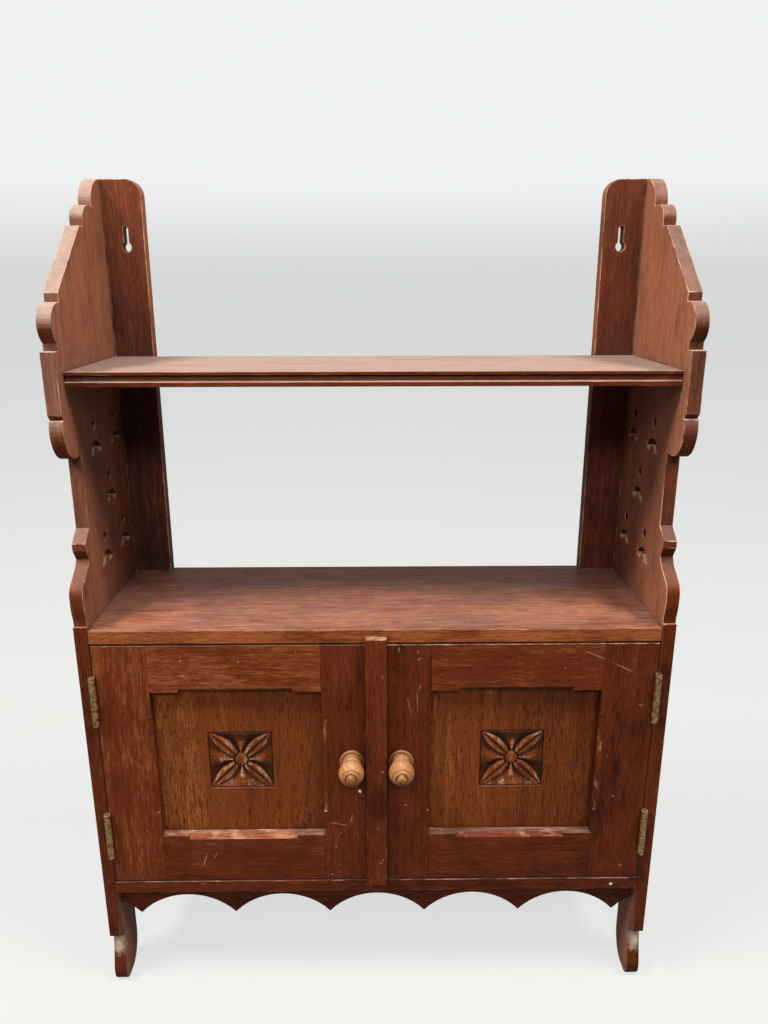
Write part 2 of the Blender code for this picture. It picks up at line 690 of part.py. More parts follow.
def build_rail(name, sign, bottom, top, towards, wood, door):
    """Door rail with stub tenons in the stiles' grooves; towards is +1 where the panel lies above."""
    middle = sign * OPENING_MIDDLE
    half = OPENING_WIDTH / 2 - SEAT_GAP
    tenon = OPENING_WIDTH / 2 + GROOVE_DEPTH - PANEL_PLAY
    front, rear = groove_span()
    front += SEAT_GAP
    rear -= SEAT_GAP
    shoulder = [(half, 0), (half, front)]
    stub = [(tenon, front), (tenon, rear), (half, rear)]
    right = [*shoulder, *stub, (half, DOOR_THICKNESS)]
    plan = right + [(-x, y) for x, y in reversed(right)]
    made = place(name, prism(plan, "Z", bottom, top), wood, door, (middle, 0, 0))
    edge = top if towards > 0 else bottom
    front, rear = groove_span()
    near = edge - towards * GROOVE_DEPTH
    far = edge + towards * CUTTER_OVERRUN
    reach = tenon + CUTTER_OVERRUN
    modify(made, box((-reach, front, min(near, far)), (reach, rear, max(near, far))))
    outline = [(y, z) for z, y in chamfer_outline(edge, towards)]
    reach = OPENING_WIDTH / 2 - CHAMFER_STOP
    modify(made, prism(outline, "X", -reach, reach))


def rosette_field():
    """One of the four sunk fields of the rosette, as (x, z) above its centre: between two petals."""
    half = ROSETTE_SIZE / 2
    corner = half - ROSETTE_MARGIN
    start = ROSETTE_BOSS_RADIUS
    length = corner * math.sqrt(2) - start
    spread = PETAL_TIP_SHARE - PETAL_ROOT_SHARE
    edge = []
    for step in range(PETAL_STEPS + 1):
        t = step / PETAL_STEPS
        along = start + length * t
        width = PETAL_HALF_WIDTH * math.sin(math.pi * (PETAL_ROOT_SHARE + spread * t))
        edge.append(((along - width) / math.sqrt(2), (along + width) / math.sqrt(2)))
    right = [*edge, (edge[-1][0], half)]
    left = [(-x, z) for x, z in reversed(right)]
    return right + left


def build_door_panel(name, sign, wood, door):
    grip = GROOVE_DEPTH - PANEL_PLAY
    low = (-OPENING_WIDTH / 2 - grip, 0, -OPENING_HEIGHT / 2 - grip)
    high = (OPENING_WIDTH / 2 + grip, PANEL_THICKNESS, OPENING_HEIGHT / 2 + grip)
    middle = (sign * OPENING_MIDDLE, PANEL_RECESS, (OPENING_TOP + OPENING_BOTTOM) / 2)
    made = place(name, box(low, high), wood, door, middle)
    fields = []
    for turn in range(4):
        field = prism(rosette_field(), "Y", -CUTTER_OVERRUN, ROSETTE_DEPTH)
        field.transform(Matrix.Rotation(turn * math.pi / 2, 4, "Y"))
        fields.append(field)
    modify(made, merged(fields))


def knob_profile():
    """Half section of a knob from its bore to its end button; lengths run out from the door."""
    ball_centre = KNOB_LENGTH - KNOB_BUTTON_LENGTH - KNOB_BALL_RADIUS
    neck_meets = math.degrees(math.asin(KNOB_NECK_RADIUS / KNOB_BALL_RADIUS))
    button_meets = math.degrees(math.asin(KNOB_BUTTON_RADIUS / KNOB_BALL_RADIUS))
    ball_radii = (KNOB_BALL_RADIUS, KNOB_BALL_RADIUS)
    ball = arc((0, ball_centre), ball_radii, neck_meets - 90, 90 - button_meets)
    bore = KNOB_SCREW_RADIUS + SCREW_CLEARANCE
    rounding = KNOB_COLLAR_LENGTH / 2
    collar = arc((KNOB_COLLAR_RADIUS - rounding, rounding), (rounding, rounding), -60, 90, 4)
    button_radii = (KNOB_BUTTON_RADIUS, KNOB_BUTTON_LENGTH)
    button = arc((0, KNOB_LENGTH - KNOB_BUTTON_LENGTH), button_radii, 15, 90, 3)
    return [
        (0, KNOB_BORE_LENGTH),
        (bore, KNOB_BORE_LENGTH),
        (bore, SEAT_GAP),
        *[(radius, max(length, SEAT_GAP)) for radius, length in collar],
        (KNOB_NECK_RADIUS, KNOB_NECK_LENGTH),
        *ball,
        *button,
    ]


def build_knob(name, sign, beech, steel, door):
    at = (sign * KNOB_OFFSET, 0, KNOB_HEIGHT)
    knob = turned(without_repeats(knob_profile()), KNOB_SIDES, (0, -1, 0))
    place(name, knob, beech, door, at, smooth=True)
    head = DOOR_THICKNESS + SEAT_GAP
    tip = KNOB_BORE_LENGTH - SEAT_GAP
    profile = [
        (0, -head - KNOB_SCREW_HEAD),
        (KNOB_SCREW_HEAD_RADIUS, -head - KNOB_SCREW_HEAD),
        (KNOB_SCREW_HEAD_RADIUS, -head),
        (KNOB_SCREW_RADIUS, -head),
        (KNOB_SCREW_RADIUS, tip - KNOB_SCREW_RADIUS),
        (0, tip),
    ]
    place(f"{name}_screw", turned(profile, FASTENER_SIDES, (0, -1, 0)), steel, door, at, smooth=True)


def strip_nails(grow=0.0, overrun=0.0):
    """Nails of the cover strip, with heads level with its face, or the holes that clear them."""
    face = -(STRIP_THICKNESS + SEAT_GAP)
    sizes = (NAIL_HEAD_RADIUS, NAIL_HEAD, NAIL_RADIUS, NAIL_LENGTH)
    nails = []
    for index in (1, 0, -1):
        at = (NAIL_OFFSET, face, DOOR_MIDDLE + index * NAIL_SPACING)
        nails.append(headed(*sizes, (0, 1, 0), at, grow, overrun))
    return nails


def build_cover_strip(wood, steel, door, meeting_stile):
    low = (-STRIP_WIDTH / 2, -STRIP_THICKNESS - SEAT_GAP, BOTTOM_TOP + STRIP_FOOT_GAP)
    high = (STRIP_WIDTH / 2, -SEAT_GAP, COUNTER_UNDER + STRIP_TOP_LAP)
    strip = place("cover_strip", box(low, high), wood, door, (0, 0, 0))
    modify(strip, merged(strip_nails(SEAT_GAP, CUTTER_OVERRUN)))
    modify(meeting_stile, merged(strip_nails(SEAT_GAP)))
    for number, nail in enumerate(strip_nails(), 1):
        place(f"cover_strip_nail_{number}", nail, steel, door, (0, 0, 0), smooth=True)


def knuckle_spans(remainder):
    """Low and high ends of every second knuckle, measured from the hinge's middle."""
    length = HINGE_LENGTH / KNUCKLE_COUNT
    spans = []
    for index in range(remainder, KNUCKLE_COUNT, 2):
        low = -HINGE_LENGTH / 2 + index * length
        high = low + length
        low += SEAT_GAP / 2 if index > 0 else 0
        high -= SEAT_GAP / 2 if index < KNUCKLE_COUNT - 1 else 0
        spans.append((low, high))
    return spans


def leaf_screw(direction, at, grow=0.0, overrun=0.0, length=HINGE_SCREW_LENGTH):
    """A countersunk hinge screw, or the hole in a leaf that clears it."""
    shank = HINGE_SCREW_RADIUS + grow
    head = HINGE_SCREW_HEAD_RADIUS + grow
    profile = [(0, -overrun), (head, -overrun), (head, 0), (shank, LEAF_THICKNESS)]
    if overrun:
        profile += [(shank, length), (0, length)]
    else:
        profile += [(shank, length - HINGE_SCREW_POINT), (0, length)]
    return turned(without_repeats(profile), FASTENER_SIDES, direction, at)


def build_leaf(name, sign, remainder, low_x, brass, parent, at):
    """One leaf with its knuckles; sign is the x direction in which its screws are driven."""
    half = HINGE_LENGTH / 2
    comb = [(LEAF_WIDTH, -half), (LEAF_WIDTH, half), (LEAF_FRONT, half)]
    for low, high in reversed(knuckle_spans(remainder)):
        comb += [(LEAF_FRONT, high), (LEAF_TAB_ROOT, high), (LEAF_TAB_ROOT, low), (LEAF_FRONT, low)]
    comb.append((LEAF_FRONT, -half))
    made = place(name, prism(comb, "X", low_x, low_x + LEAF_THICKNESS), brass, parent, at, smooth=True)
    rings = []
    for low, high in knuckle_spans(remainder):
        ring = [
            (KNUCKLE_BORE_RADIUS, low),
            (KNUCKLE_RADIUS, low),
            (KNUCKLE_RADIUS, high),
            (KNUCKLE_BORE_RADIUS, high),
        ]
        rings.append(turned(ring, KNUCKLE_SIDES, (0, 0, 1), closed=True))
    modify(made, merged(rings), "UNION")
    holes = []
    face = low_x if sign > 0 else low_x + LEAF_THICKNESS
    for number, offset in enumerate(LEAF_SCREW_OFFSETS, 1):
        head = (face, LEAF_SCREW_Y, offset)
        reach = LEAF_THICKNESS + CUTTER_OVERRUN
        holes.append(leaf_screw((sign, 0, 0), head, SCREW_CLEARANCE, CUTTER_OVERRUN, reach))
        screw = leaf_screw((sign, 0, 0), head)
        place(f"{name}_screw_{number}", screw, brass, parent, at, smooth=True)
    modify(made, merged(holes))


def build_hinge(side, level, brass, steel, cabinet, door):
    sign = SIGNS[side]
    name = f"{side}_{level}_hinge"
    at = (sign * AXIS_X, AXIS_Y, HINGE_HEIGHTS[level])
    half_gap = DOOR_SIDE_GAP / 2
    frame_low = half_gap if sign > 0 else -half_gap - LEAF_THICKNESS
    door_low = -half_gap - LEAF_THICKNESS if sign > 0 else half_gap
    build_leaf(f"{name}_frame_leaf", sign, 0, frame_low, brass, cabinet, at)
    build_leaf(f"{name}_door_leaf", -sign, 1, door_low, brass, door, at)
    half = HINGE_LENGTH / 2
    pin = rod(HINGE_PIN_RADIUS, -half, half, FASTENER_SIDES, (0, 0, 1))
    place(f"{name}_pin", pin, steel, cabinet, at, smooth=True)


def fit_door_leaves(sign, hinge_stile):
    """Recesses and screw holes for the door's leaves in the hinge stile's edge."""
    recesses = []
    holes = []
    edge = sign * HINGE_EDGE
    for middle in HINGE_HEIGHTS.values():
        near = edge + sign * CUTTER_OVERRUN
        far = edge - sign * (LEAF_THICKNESS + SEAT_GAP)
        reach = HINGE_LENGTH / 2 + SEAT_GAP
        low = (min(near, far), -CUTTER_OVERRUN, middle - reach)
        high = (max(near, far), AXIS_Y + LEAF_WIDTH + SEAT_GAP, middle + reach)
        recesses.append(box(low, high))
    for height in hinge_screw_heights():
        at = (edge, AXIS_Y + LEAF_SCREW_Y, height)
        radius = HINGE_SCREW_RADIUS + SCREW_CLEARANCE
        depth = HINGE_SCREW_LENGTH + SCREW_CLEARANCE
        holes.append(rod(radius, -CUTTER_OVERRUN, depth, FASTENER_SIDES, (-sign, 0, 0), at))
    modify(hinge_stile, merged(recesses))
    modify(hinge_stile, merged(holes))


def build_door(side, woods, metals, door):
    sign = SIGNS[side]
    hinge_x = sorted((sign * OPENING_OUTER, sign * HINGE_EDGE))
    meeting_x = sorted((sign * MEETING_EDGE, sign * OPENING_INNER))
    hinge_stile = build_stile(f"{side}_door_hinge_stile", *hinge_x, -sign, woods["mahogany"], door)
    meeting_stile = build_stile(f"{side}_door_meeting_stile", *meeting_x, sign, woods["mahogany"], door)
    build_rail(f"{side}_door_top_rail", sign, OPENING_TOP, DOOR_TOP, -1, woods["mahogany"], door)
    build_rail(f"{side}_door_bottom_rail", sign, DOOR_BOTTOM, OPENING_BOTTOM, 1, woods["mahogany"], door)
    build_door_panel(f"{side}_door_panel", sign, woods["oak"], door)
    build_knob(f"{side}_door_knob", sign, woods["beech"], metals["steel"], door)
    fit_door_leaves(sign, hinge_stile)
    radius = KNOB_SCREW_RADIUS + SCREW_CLEARANCE
    at = (sign * KNOB_OFFSET, 0, KNOB_HEIGHT)
    reach = DOOR_THICKNESS + CUTTER_OVERRUN
    modify(meeting_stile, rod(radius, -CUTTER_OVERRUN, reach, FASTENER_SIDES, (0, 1, 0), at))
    return meeting_stile


def main():
    clear_scene()
    woods = {
        "mahogany": make_material("mahogany", (0.17, 0.047, 0.02), 0.45),
        "oak": make_material("stained_oak", (0.22, 0.078, 0.028), 0.5),
        "beech": make_material("beech", (0.53, 0.3, 0.13), 0.42),
        "plywood": make_material("plywood", (0.3, 0.16, 0.075), 0.65),
    }
    metals = {
        "brass": make_material("brass", (0.42, 0.3, 0.12), 0.4, 1.0),
        "steel": make_material("steel", (0.25, 0.24, 0.23), 0.45, 1.0),
    }
    cabinet = make_empty("cabinet", (0, FRONT_Y, 0))
    doors = {}
    for side, sign in SIGNS.items():
        build_side(side, woods["mahogany"], cabinet)
        build_back_stile(side, woods["mahogany"], cabinet)
        doors[side] = make_empty(f"{side}_door_axis", (sign * AXIS_X, AXIS_Y, 0), cabinet)
    build_shelf(woods["mahogany"], cabinet)
    build_boards(woods["mahogany"], cabinet)
    build_back_panel(woods["plywood"], cabinet)
    build_apron(woods["mahogany"], cabinet)
    build_door_stop(woods["mahogany"], cabinet)
    meeting_stiles = {}
    for side in SIGNS:
        meeting_stiles[side] = build_door(side, woods, metals, doors[side])
        for level in HINGE_HEIGHTS:
            build_hinge(side, level, metals["brass"], metals["steel"], cabinet, doors[side])
    build_cover_strip(woods["mahogany"], metals["steel"], doors["right"], meeting_stiles["right"])


main()
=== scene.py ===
# %% [markdown]
# # A spice cabinet, dressed for its photograph
# The solids of the cabinet are already made, in metres, with every board in its place. This lesson
# gives them the look of the real thing: a small hanging cabinet in stained mahogany, with carved
# oak door panels, turned beech knobs and brass hinges, all of it used for many years.
# Nothing is moved here. Each piece is rebuilt on its own solid, so it fits without measuring.

# %% Load the solids
import json
import math

import bmesh
import bpy
from mathutils import Matrix, Vector, noise


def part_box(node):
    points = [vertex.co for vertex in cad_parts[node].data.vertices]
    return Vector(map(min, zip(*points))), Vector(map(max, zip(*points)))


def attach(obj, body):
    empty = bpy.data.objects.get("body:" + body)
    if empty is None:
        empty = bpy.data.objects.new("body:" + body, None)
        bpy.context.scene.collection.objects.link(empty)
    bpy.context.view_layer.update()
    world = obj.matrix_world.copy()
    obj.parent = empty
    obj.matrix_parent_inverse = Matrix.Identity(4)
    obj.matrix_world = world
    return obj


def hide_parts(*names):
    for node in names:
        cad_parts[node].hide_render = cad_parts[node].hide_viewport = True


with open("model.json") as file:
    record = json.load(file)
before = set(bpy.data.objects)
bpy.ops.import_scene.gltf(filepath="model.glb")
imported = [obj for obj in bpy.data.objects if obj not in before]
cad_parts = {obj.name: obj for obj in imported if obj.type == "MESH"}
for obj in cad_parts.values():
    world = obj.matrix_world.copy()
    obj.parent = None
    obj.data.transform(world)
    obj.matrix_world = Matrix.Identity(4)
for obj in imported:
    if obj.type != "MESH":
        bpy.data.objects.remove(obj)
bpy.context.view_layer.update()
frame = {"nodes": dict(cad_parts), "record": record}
MM = 0.001
body_of = {}
for body, nodes in frame["record"]["behaviour"]["bodies"].items():
    body_of.update(dict.fromkeys(nodes, body))

# %% [markdown]
# The camera comes first, because every later choice is judged through it. The picture was taken
# from a little above the shelf, close to the cabinet, with a wide lens that looks down by about
# 16 degrees. The field of view and the tilt were worked out from the corners of the doors.

# %% Camera
CAMERA_AT = (0.9, -733, 710.5)
CAMERA_TURN = (73.67, 0.09, -0.60)
camera = bpy.data.objects.new("camera", bpy.data.cameras.new("camera"))
camera.data.lens = 28.04
camera.data.sensor_width = 36
camera.data.clip_start = 10 * MM
camera.location = Vector(CAMERA_AT) * MM
camera.rotation_euler = [math.radians(angle) for angle in CAMERA_TURN]
bpy.context.scene.collection.objects.link(camera)
bpy.context.scene.camera = camera
print(f"camera at {CAMERA_AT} mm, turned by {CAMERA_TURN} degrees")

# %% [markdown]
# A colour is written as the hex value that a colour picker shows on the finished surface. Blender
# mixes light in linear values, so one function converts it. A second function adds a shader node:
# a plain value is set on the socket and another node's output is linked to it. Sockets that share a
# name are given by number. A Map Range takes its value as 0, the range that comes in as 1 and 2, and
# the range that goes out as 3 and 4. A Mix of colours takes its share as 0 and the two colours as 6
# and 7, and gives the result as output 2. The two settings below the functions are the ones that
# come back most often: a Map Range that eases in and out, and that Mix.

# %% Colour and node helpers
def linear(code):
    """Turns an sRGB hex colour into linear red, green, blue and alpha."""
    parts = [int(code[at : at + 2], 16) / 255 for at in (1, 3, 5)]
    return (*[c / 12.92 if c <= 0.04045 else ((c + 0.055) / 1.055) ** 2.4 for c in parts], 1.0)


def add(tree, kind, inputs=None, give=0, **settings):
    """Adds a node, fills or links its inputs, and returns the output called give."""
    node = tree.nodes.new("ShaderNode" + kind)
    for name, value in settings.items():
        setattr(node, name, value)
    for key, value in (inputs or {}).items():
        if isinstance(value, bpy.types.NodeSocket):
            tree.links.new(value, node.inputs[key])
        else:
            node.inputs[key].default_value = value
    return node.outputs[give]


EASED = {"interpolation_type": "SMOOTHSTEP"}
TINTS = {"data_type": "RGBA"}
print("oxide red as linear:", [round(c, 3) for c in linear("#7A3B22")])

# %% [markdown]
# The studio is a pale floor that runs to a pale surround. The camera sees both as pale. The light
# that they throw on the cabinet is a separate matter: Light Path tells a camera ray from the rest,
# so the surround can fill the shadows softly without washing out the wood. Mirrored rays see the
# surround bright behind and above the cabinet and dimmer in front of it, as in a room with a white
# wall: that puts the pale sheen on tops and sides that are seen at a low angle.

# %% Studio floor and surround
FLOOR_HALF = 6


def seen_rays(tree):
    """Two masks: rays from the camera or through glass, and mirrored rays."""
    from_camera = add(tree, "LightPath", give="Is Camera Ray")
    rays = from_camera.node.outputs
    through = rays["Is Transmission Ray"]
    direct = add(tree, "Math", {0: from_camera, 1: through}, operation="MAXIMUM")
    return direct, rays["Is Glossy Ray"]


def studio_floor():
    """A matt painted floor, seen as pale as the surround and with only a faint shadow on it."""
    shape = bmesh.new()
    bmesh.ops.create_grid(shape, x_segments=1, y_segments=1, size=FLOOR_HALF)
    mesh = bpy.data.meshes.new("studio_floor")
    shape.to_mesh(mesh)
    shape.free()
    floor = bpy.data.objects.new("studio_floor", mesh)
    bpy.context.scene.collection.objects.link(floor)
    material = bpy.data.materials.new("painted_floor")
    material.use_nodes = True
    tree = material.node_tree
    lit = tree.nodes["Principled BSDF"]
    lit.inputs["Roughness"].default_value = 0.9
    lit.inputs["Specular IOR Level"].default_value = 0.1
    direct, mirrored = seen_rays(tree)
    paint = add(tree, "Mix", {0: direct, 6: linear("#5C5C5A"), 7: linear("#CFD1CF")}, 2, **TINTS)
    tree.links.new(paint, lit.inputs["Base Color"])
    share = add(tree, "Math", {0: mirrored, 1: 0.15}, operation="MULTIPLY")
    share = add(tree, "Math", {0: direct, 1: 0.76, 2: share}, operation="MULTIPLY_ADD")
    glow = add(tree, "Emission", {"Color": linear("#F0F3F2")})
    both = add(tree, "MixShader", {0: share, 1: lit.outputs[0], 2: glow})
    tree.links.new(both, tree.nodes["Material Output"].inputs["Surface"])
    mesh.materials.append(material)


def surround():
    """A pale world: one brightness for the camera, one for soft fill and one for mirrored rays."""
    world = bpy.data.worlds.new("pale_surround")
    bpy.context.scene.world = world
    world.use_nodes = True
    tree = world.node_tree
    way = add(tree, "TexCoord", give="Generated")
    rear = add(tree, "VectorMath", {0: way, 1: (0, 1, 0)}, "Value", operation="DOT_PRODUCT")
    rear = add(tree, "MapRange", {0: rear, 1: -0.6, 2: 0.6}, **EASED)
    fill = add(tree, "Mix", {0: rear, 6: linear("#6C6C6C"), 7: linear("#484848")}, 2, **TINTS)
    above = add(tree, "VectorMath", {0: way, 1: (0, 0.35, 0.94)}, "Value", operation="DOT_PRODUCT")
    above = add(tree, "MapRange", {0: above, 1: -0.1, 2: 0.9}, **EASED)
    sheen = add(tree, "Mix", {0: above, 6: linear("#383838"), 7: linear("#CED0CF")}, 2, **TINTS)
    direct, mirrored = seen_rays(tree)
    colour = add(tree, "Mix", {0: mirrored, 6: fill, 7: sheen}, 2, **TINTS)
    rise = add(tree, "MapRange", {0: add(tree, "SeparateXYZ", {0: way}, "Z"), 2: 0.12}, **EASED)
    paper = add(tree, "Mix", {0: rise, 6: linear("#D6D9D7"), 7: linear("#EFF2F1")}, 2, **TINTS)
    colour = add(tree, "Mix", {0: direct, 6: colour, 7: paper}, 2, **TINTS)
    tree.links.new(colour, tree.nodes["Background"].inputs["Color"])


studio_floor()
surround()
bpy.context.scene.view_settings.view_transform = "Standard"
print("floor and surround ready")

# %% [markdown]
# Two lamps hang high in front of the cabinet, the stronger one on the left. Their height was worked
# out from two shadows in the photograph: the shelf's, which covers the rear half of the counter, and
# the band under each door's top rail. Both give a light that falls at 72 degrees. The lamps are
# narrow from front to back, so those shadows have clear limits, and as they stand apart they light
# the inner faces of both sides. A third, weaker lamp further forward opens the shadows.

# %% Lamps
def lamp(name, size, at, aim, watts, colour):
    """Hangs a rectangular lamp; sizes and places are in metres."""
    data = bpy.data.lights.new(name, "AREA")
    data.shape = "RECTANGLE"
    data.size, data.size_y = size
    data.energy = watts
    data.color = linear(colour)[:3]
    made = bpy.data.objects.new(name, data)
    made.location = at
    made.rotation_euler = (Vector(aim) - Vector(at)).to_track_quat("-Z", "Y").to_euler()
    bpy.context.scene.collection.objects.link(made)
    print(f"{name}: {watts} W at {at}")


DOOR_HEADS = (0, 0, 0.35)
lamp("left_lamp", (0.9, 0.12), (-1.45, -0.69, 2.60), DOOR_HEADS, watts=76, colour="#FFF6EC")
lamp("right_lamp", (0.9, 0.12), (1.25, -0.69, 2.60), DOOR_HEADS, watts=54, colour="#FFF6EC")
lamp("room_lamp", (0.9, 0.45), (-0.10, -1.79, 1.75), (0, 0, 0.40), watts=20, colour="#FFF8F0")

# %% [markdown]
# Every board is one piece of timber, and its grain runs along its length. A texture placed by the
# board's own coordinates would be the same on all of them, so each board carries an attribute
# called grain: metres along the board, across it and through it, counted from a place in the tree
# that no other board shares. One material then serves every board, whichever way it lies.
# Four more attributes follow it: tone, how lightly the stain took there, and on the left door painted
# light as well; bare, how much of the finish has gone; the painted sheen, a pale haze where light
# would glint off the varnish; and the painted top light, how much lighter the top end of an upright
# board is painted, as if more light fell there. The dictionary called finishes takes each material as
# it is made, under the name of the slot that the solids have for it.

# %% Board helpers
AXES = {"x": (0, 1, 2), "y": (1, 0, 2), "z": (2, 0, 1)}
TREE_STEP = 0.731
made_boards = []
finishes = {}


def ease(value, low, high):
    """A smooth step from 0 at low to 1 at high."""
    share = min(1.0, max(0.0, (value - low) / (high - low)))
    return share * share * (3 - 2 * share)


def write_grain(piece, along, pith):
    """Stores the grain coordinates of one board; pith is where the tree's heart lies, in mm."""
    first, second, third = AXES[along]
    mesh = piece.data
    middle = sum((v.co for v in mesh.vertices), Vector()) / len(mesh.vertices)
    shift = (TREE_STEP * len(made_boards), pith[0] * MM, pith[1] * MM)
    values = []
    for vertex in mesh.vertices:
        at = vertex.co - middle
        values.extend((at[first] + shift[0], at[second] + shift[1], at[third] + shift[2]))
    mesh.attributes.new("grain", "FLOAT_VECTOR", "POINT").data.foreach_set("vector", values)
    made_boards.append(piece)
    print(f"{piece.name}: {len(mesh.polygons)} faces, grain along {along}")


def show(name, shape, slot, replaced):
    """Makes an object of a bmesh, rides it on the body of a solid and lets it stand for that solid."""
    body = body_of[replaced]
    mesh = bpy.data.meshes.new(name)
    shape.to_mesh(mesh)
    shape.free()
    mesh.materials.append(finishes[slot])
    piece = bpy.data.objects.new(name, mesh)
    bpy.context.scene.collection.objects.link(piece)
    even = piece.modifiers.new("even_shading", "WEIGHTED_NORMAL")
    even.keep_sharp = True
    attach(piece, body)
    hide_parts(replaced)
    return piece


# %% [markdown]
# A planed board has no knife-sharp corners: sandpaper and years of dusting round them. So a copy of
# each solid has its flat faces joined, and every outer corner of more than 25 degrees is bevelled by
# less than a millimetre. The new narrow faces are where the stain wears first, so they are marked
# as partly bare. Edges on a glued joint stay square, as a joint is planed flush. The bevel is not
# clamped, because one short edge, at a keyhole or a drilling, would thin it on the whole board.
# Tone, bare, bloom and fade may each be a number, or a rule that looks at a face's middle and the
# way it faces. A rule that answers UNWORN takes the wear off an arris again.

# %% Rounded boards
FLAT_ANGLE = math.radians(0.5)
ARRIS_ANGLE = math.radians(25)
JOINT_REACH = Vector((0.6, 0.6, 0.6)) * MM
UNWORN = -1


def sharpen(shape, degrees):
    """Smooth shading everywhere, except across edges that turn by more than degrees."""
    for face in shape.faces:
        face.smooth = True
    for edge in shape.edges:
        edge.smooth = edge.calc_face_angle(0) < math.radians(degrees)


def at_joint(edge, neighbours):
    """Whether an edge lies on the joint with one of the neighbouring boards."""
    middle = (edge.verts[0].co + edge.verts[1].co) / 2
    for low, high in map(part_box, neighbours):
        if all(a < m < b for a, m, b in zip(low - JOINT_REACH, middle, high + JOINT_REACH)):
            return True
    return False


def rounded(node, arris, wear=0.5, neighbours=(), least=0.2):
    """A copy of a solid with its outer arrises rounded, apart from edges shorter than least, in mm."""
    shape = bmesh.new()
    shape.from_mesh(frame["nodes"][node].data)
    bmesh.ops.remove_doubles(shape, verts=shape.verts, dist=1e-6)
    bmesh.ops.dissolve_limit(shape, angle_limit=FLAT_ANGLE, verts=shape.verts, edges=shape.edges)
    bare = shape.faces.layers.float.new("bare")
    edges = [
        edge
        for edge in shape.edges
        if edge.is_manifold
        and edge.is_convex
        and edge.calc_face_angle(0) > ARRIS_ANGLE
        and edge.calc_length() > least * MM
        and not at_joint(edge, neighbours)
    ]
    worn = bmesh.ops.bevel(
        shape, geom=edges, offset=arris * MM, offset_type="OFFSET", affect="EDGES", segments=2,
        profile=0.5, material=-1, clamp_overlap=False,
    )
    for face in worn["faces"]:
        face[bare] = wear
    sharpen(shape, 38)
    return shape


def board(node, along, slot, tone, arris=0.7, pith=(24, 38), wear=0.5, bare=0, painted_sheen=0, painted_top_light=0,
          neighbours=(), least=0.2):
    """Stands a rounded, grained board in the place of a solid."""
    shape = rounded(node, arris, wear, neighbours, least)
    for name, rule in (("tone", tone), ("bare", bare), ("painted_sheen", painted_sheen), ("painted_top_light", painted_top_light)):
        layer = shape.faces.layers.float.get(name) or shape.faces.layers.float.new(name)
        for face in shape.faces:
            value = rule(face.calc_center_median(), face.normal) if callable(rule) else rule
            face[layer] = 0 if value == UNWORN else max(face[layer], value)
    piece = show(f"{node}_board", shape, slot, node)
    write_grain(piece, along, pith)


print("arrises sharper than", round(math.degrees(ARRIS_ANGLE)), "degrees will be rounded")

# %% [markdown]
# Timber is made in four steps, one function each. The first is the clean wood. Its colour comes from
# streaks that run with the grain, from fine fibres, from growth rings and from open pores, which
# are short dark dashes. Real pores are about 0.2 mm wide, too fine for the picture, so they are
# drawn 0.6 mm wide or more. Sizes are given in mm, along the grain and across it.

# %% Timber, step 1: grain
# Heights in mm between which the painted top light rises.
PAINTED_LIGHT_HEIGHTS = (620, 800)


def per_mm(along, across):
    """The scale at which one unit of a texture is along mm by across mm of timber."""
    return (1000 / along, 1000 / across, 1000 / across)


def grain_figure(tree, tints, figure):
    """The clean timber's colour, and the sockets that the later steps need, by name."""
    grain = add(tree, "Attribute", give="Vector", attribute_name="grain")
    tone = add(tree, "Attribute", give="Fac", attribute_name="tone")
    height = add(tree, "SeparateXYZ", {0: add(tree, "TexCoord", give="Object")}, "Z")
    # Painted light: the tone rises between the two heights given above, so the top end of an upright
    # board looks lit more strongly.
    painted_top_light = add(tree, "Attribute", give="Fac", attribute_name="painted_top_light")
    low, high = PAINTED_LIGHT_HEIGHTS
    painted_top_light = add(tree, "MapRange", {0: height, 1: low * MM, 2: high * MM, 4: painted_top_light})
    tone = add(tree, "Math", {0: tone, 1: painted_top_light}, operation="ADD")
    place = add(tree, "VectorMath", {0: grain, 1: per_mm(160, 45)}, operation="MULTIPLY")
    slow = add(tree, "TexNoise", {"Vector": place, "Scale": 1, "Detail": 2}, "Color")
    sway = figure["sway"] * MM
    drift = {0: slow, 1: (0, sway, sway), 2: (0, -sway / 2, -sway / 2)}
    drift = add(tree, "VectorMath", drift, operation="MULTIPLY_ADD")
    wood = add(tree, "VectorMath", {0: grain, 1: drift}, operation="ADD")
    made = {"grain": grain, "wood": wood, "height": height}
    for part, (along, across, detail) in figure["noise"].items():
        place = add(tree, "VectorMath", {0: wood, 1: per_mm(along, across)}, operation="MULTIPLY")
        look = {"Vector": place, "Scale": 1, "Detail": detail, "Roughness": 0.7}
        made[part] = add(tree, "TexNoise", look)
    look = {"Vector": wood, "Scale": math.tau / 20 / (figure["ring"] * MM), "Distortion": 2.2,
            "Detail": 3, "Detail Scale": 1.4, "Detail Roughness": 0.6}
    wave = {"wave_type": "RINGS", "rings_direction": "X", "wave_profile": "SAW"}
    made["rings"] = add(tree, "TexWave", look, "Fac", **wave)

    body, half = tone, 0.5
    for part, share in figure["share"].items():
        body = add(tree, "Math", {0: made[part], 1: share, 2: body}, operation="MULTIPLY_ADD")
        half += share / 2
    low = add(tree, "MapRange", {0: body, 1: half - 0.75, 2: half}, **EASED)
    high = add(tree, "MapRange", {0: body, 1: half, 2: half + 0.80}, **EASED)
    colour = add(tree, "Mix", {0: low, 6: tints["dark"], 7: tints["middle"]}, 2, **TINTS)
    colour = add(tree, "Mix", {0: high, 6: colour, 7: tints["light"]}, 2, **TINTS)
    dense = {0: made["blotch"], 1: 0.35, 2: 0.65, 3: -0.08, 4: 0.04}
    pits = add(tree, "Math", {0: made["pore"], 1: add(tree, "MapRange", dense)}, operation="ADD")
    pits = {0: pits, 1: 0.55, 2: 0.64, 4: figure["pore_share"]}
    made["pits"] = add(tree, "MapRange", pits, **EASED)
    colour = add(tree, "Mix", {0: made["pits"], 6: colour, 7: tints["pore"]}, 2, **TINTS)
    return colour, made


print("a pore 8 mm long and 0.6 mm wide is drawn at scale", per_mm(8, 0.6))

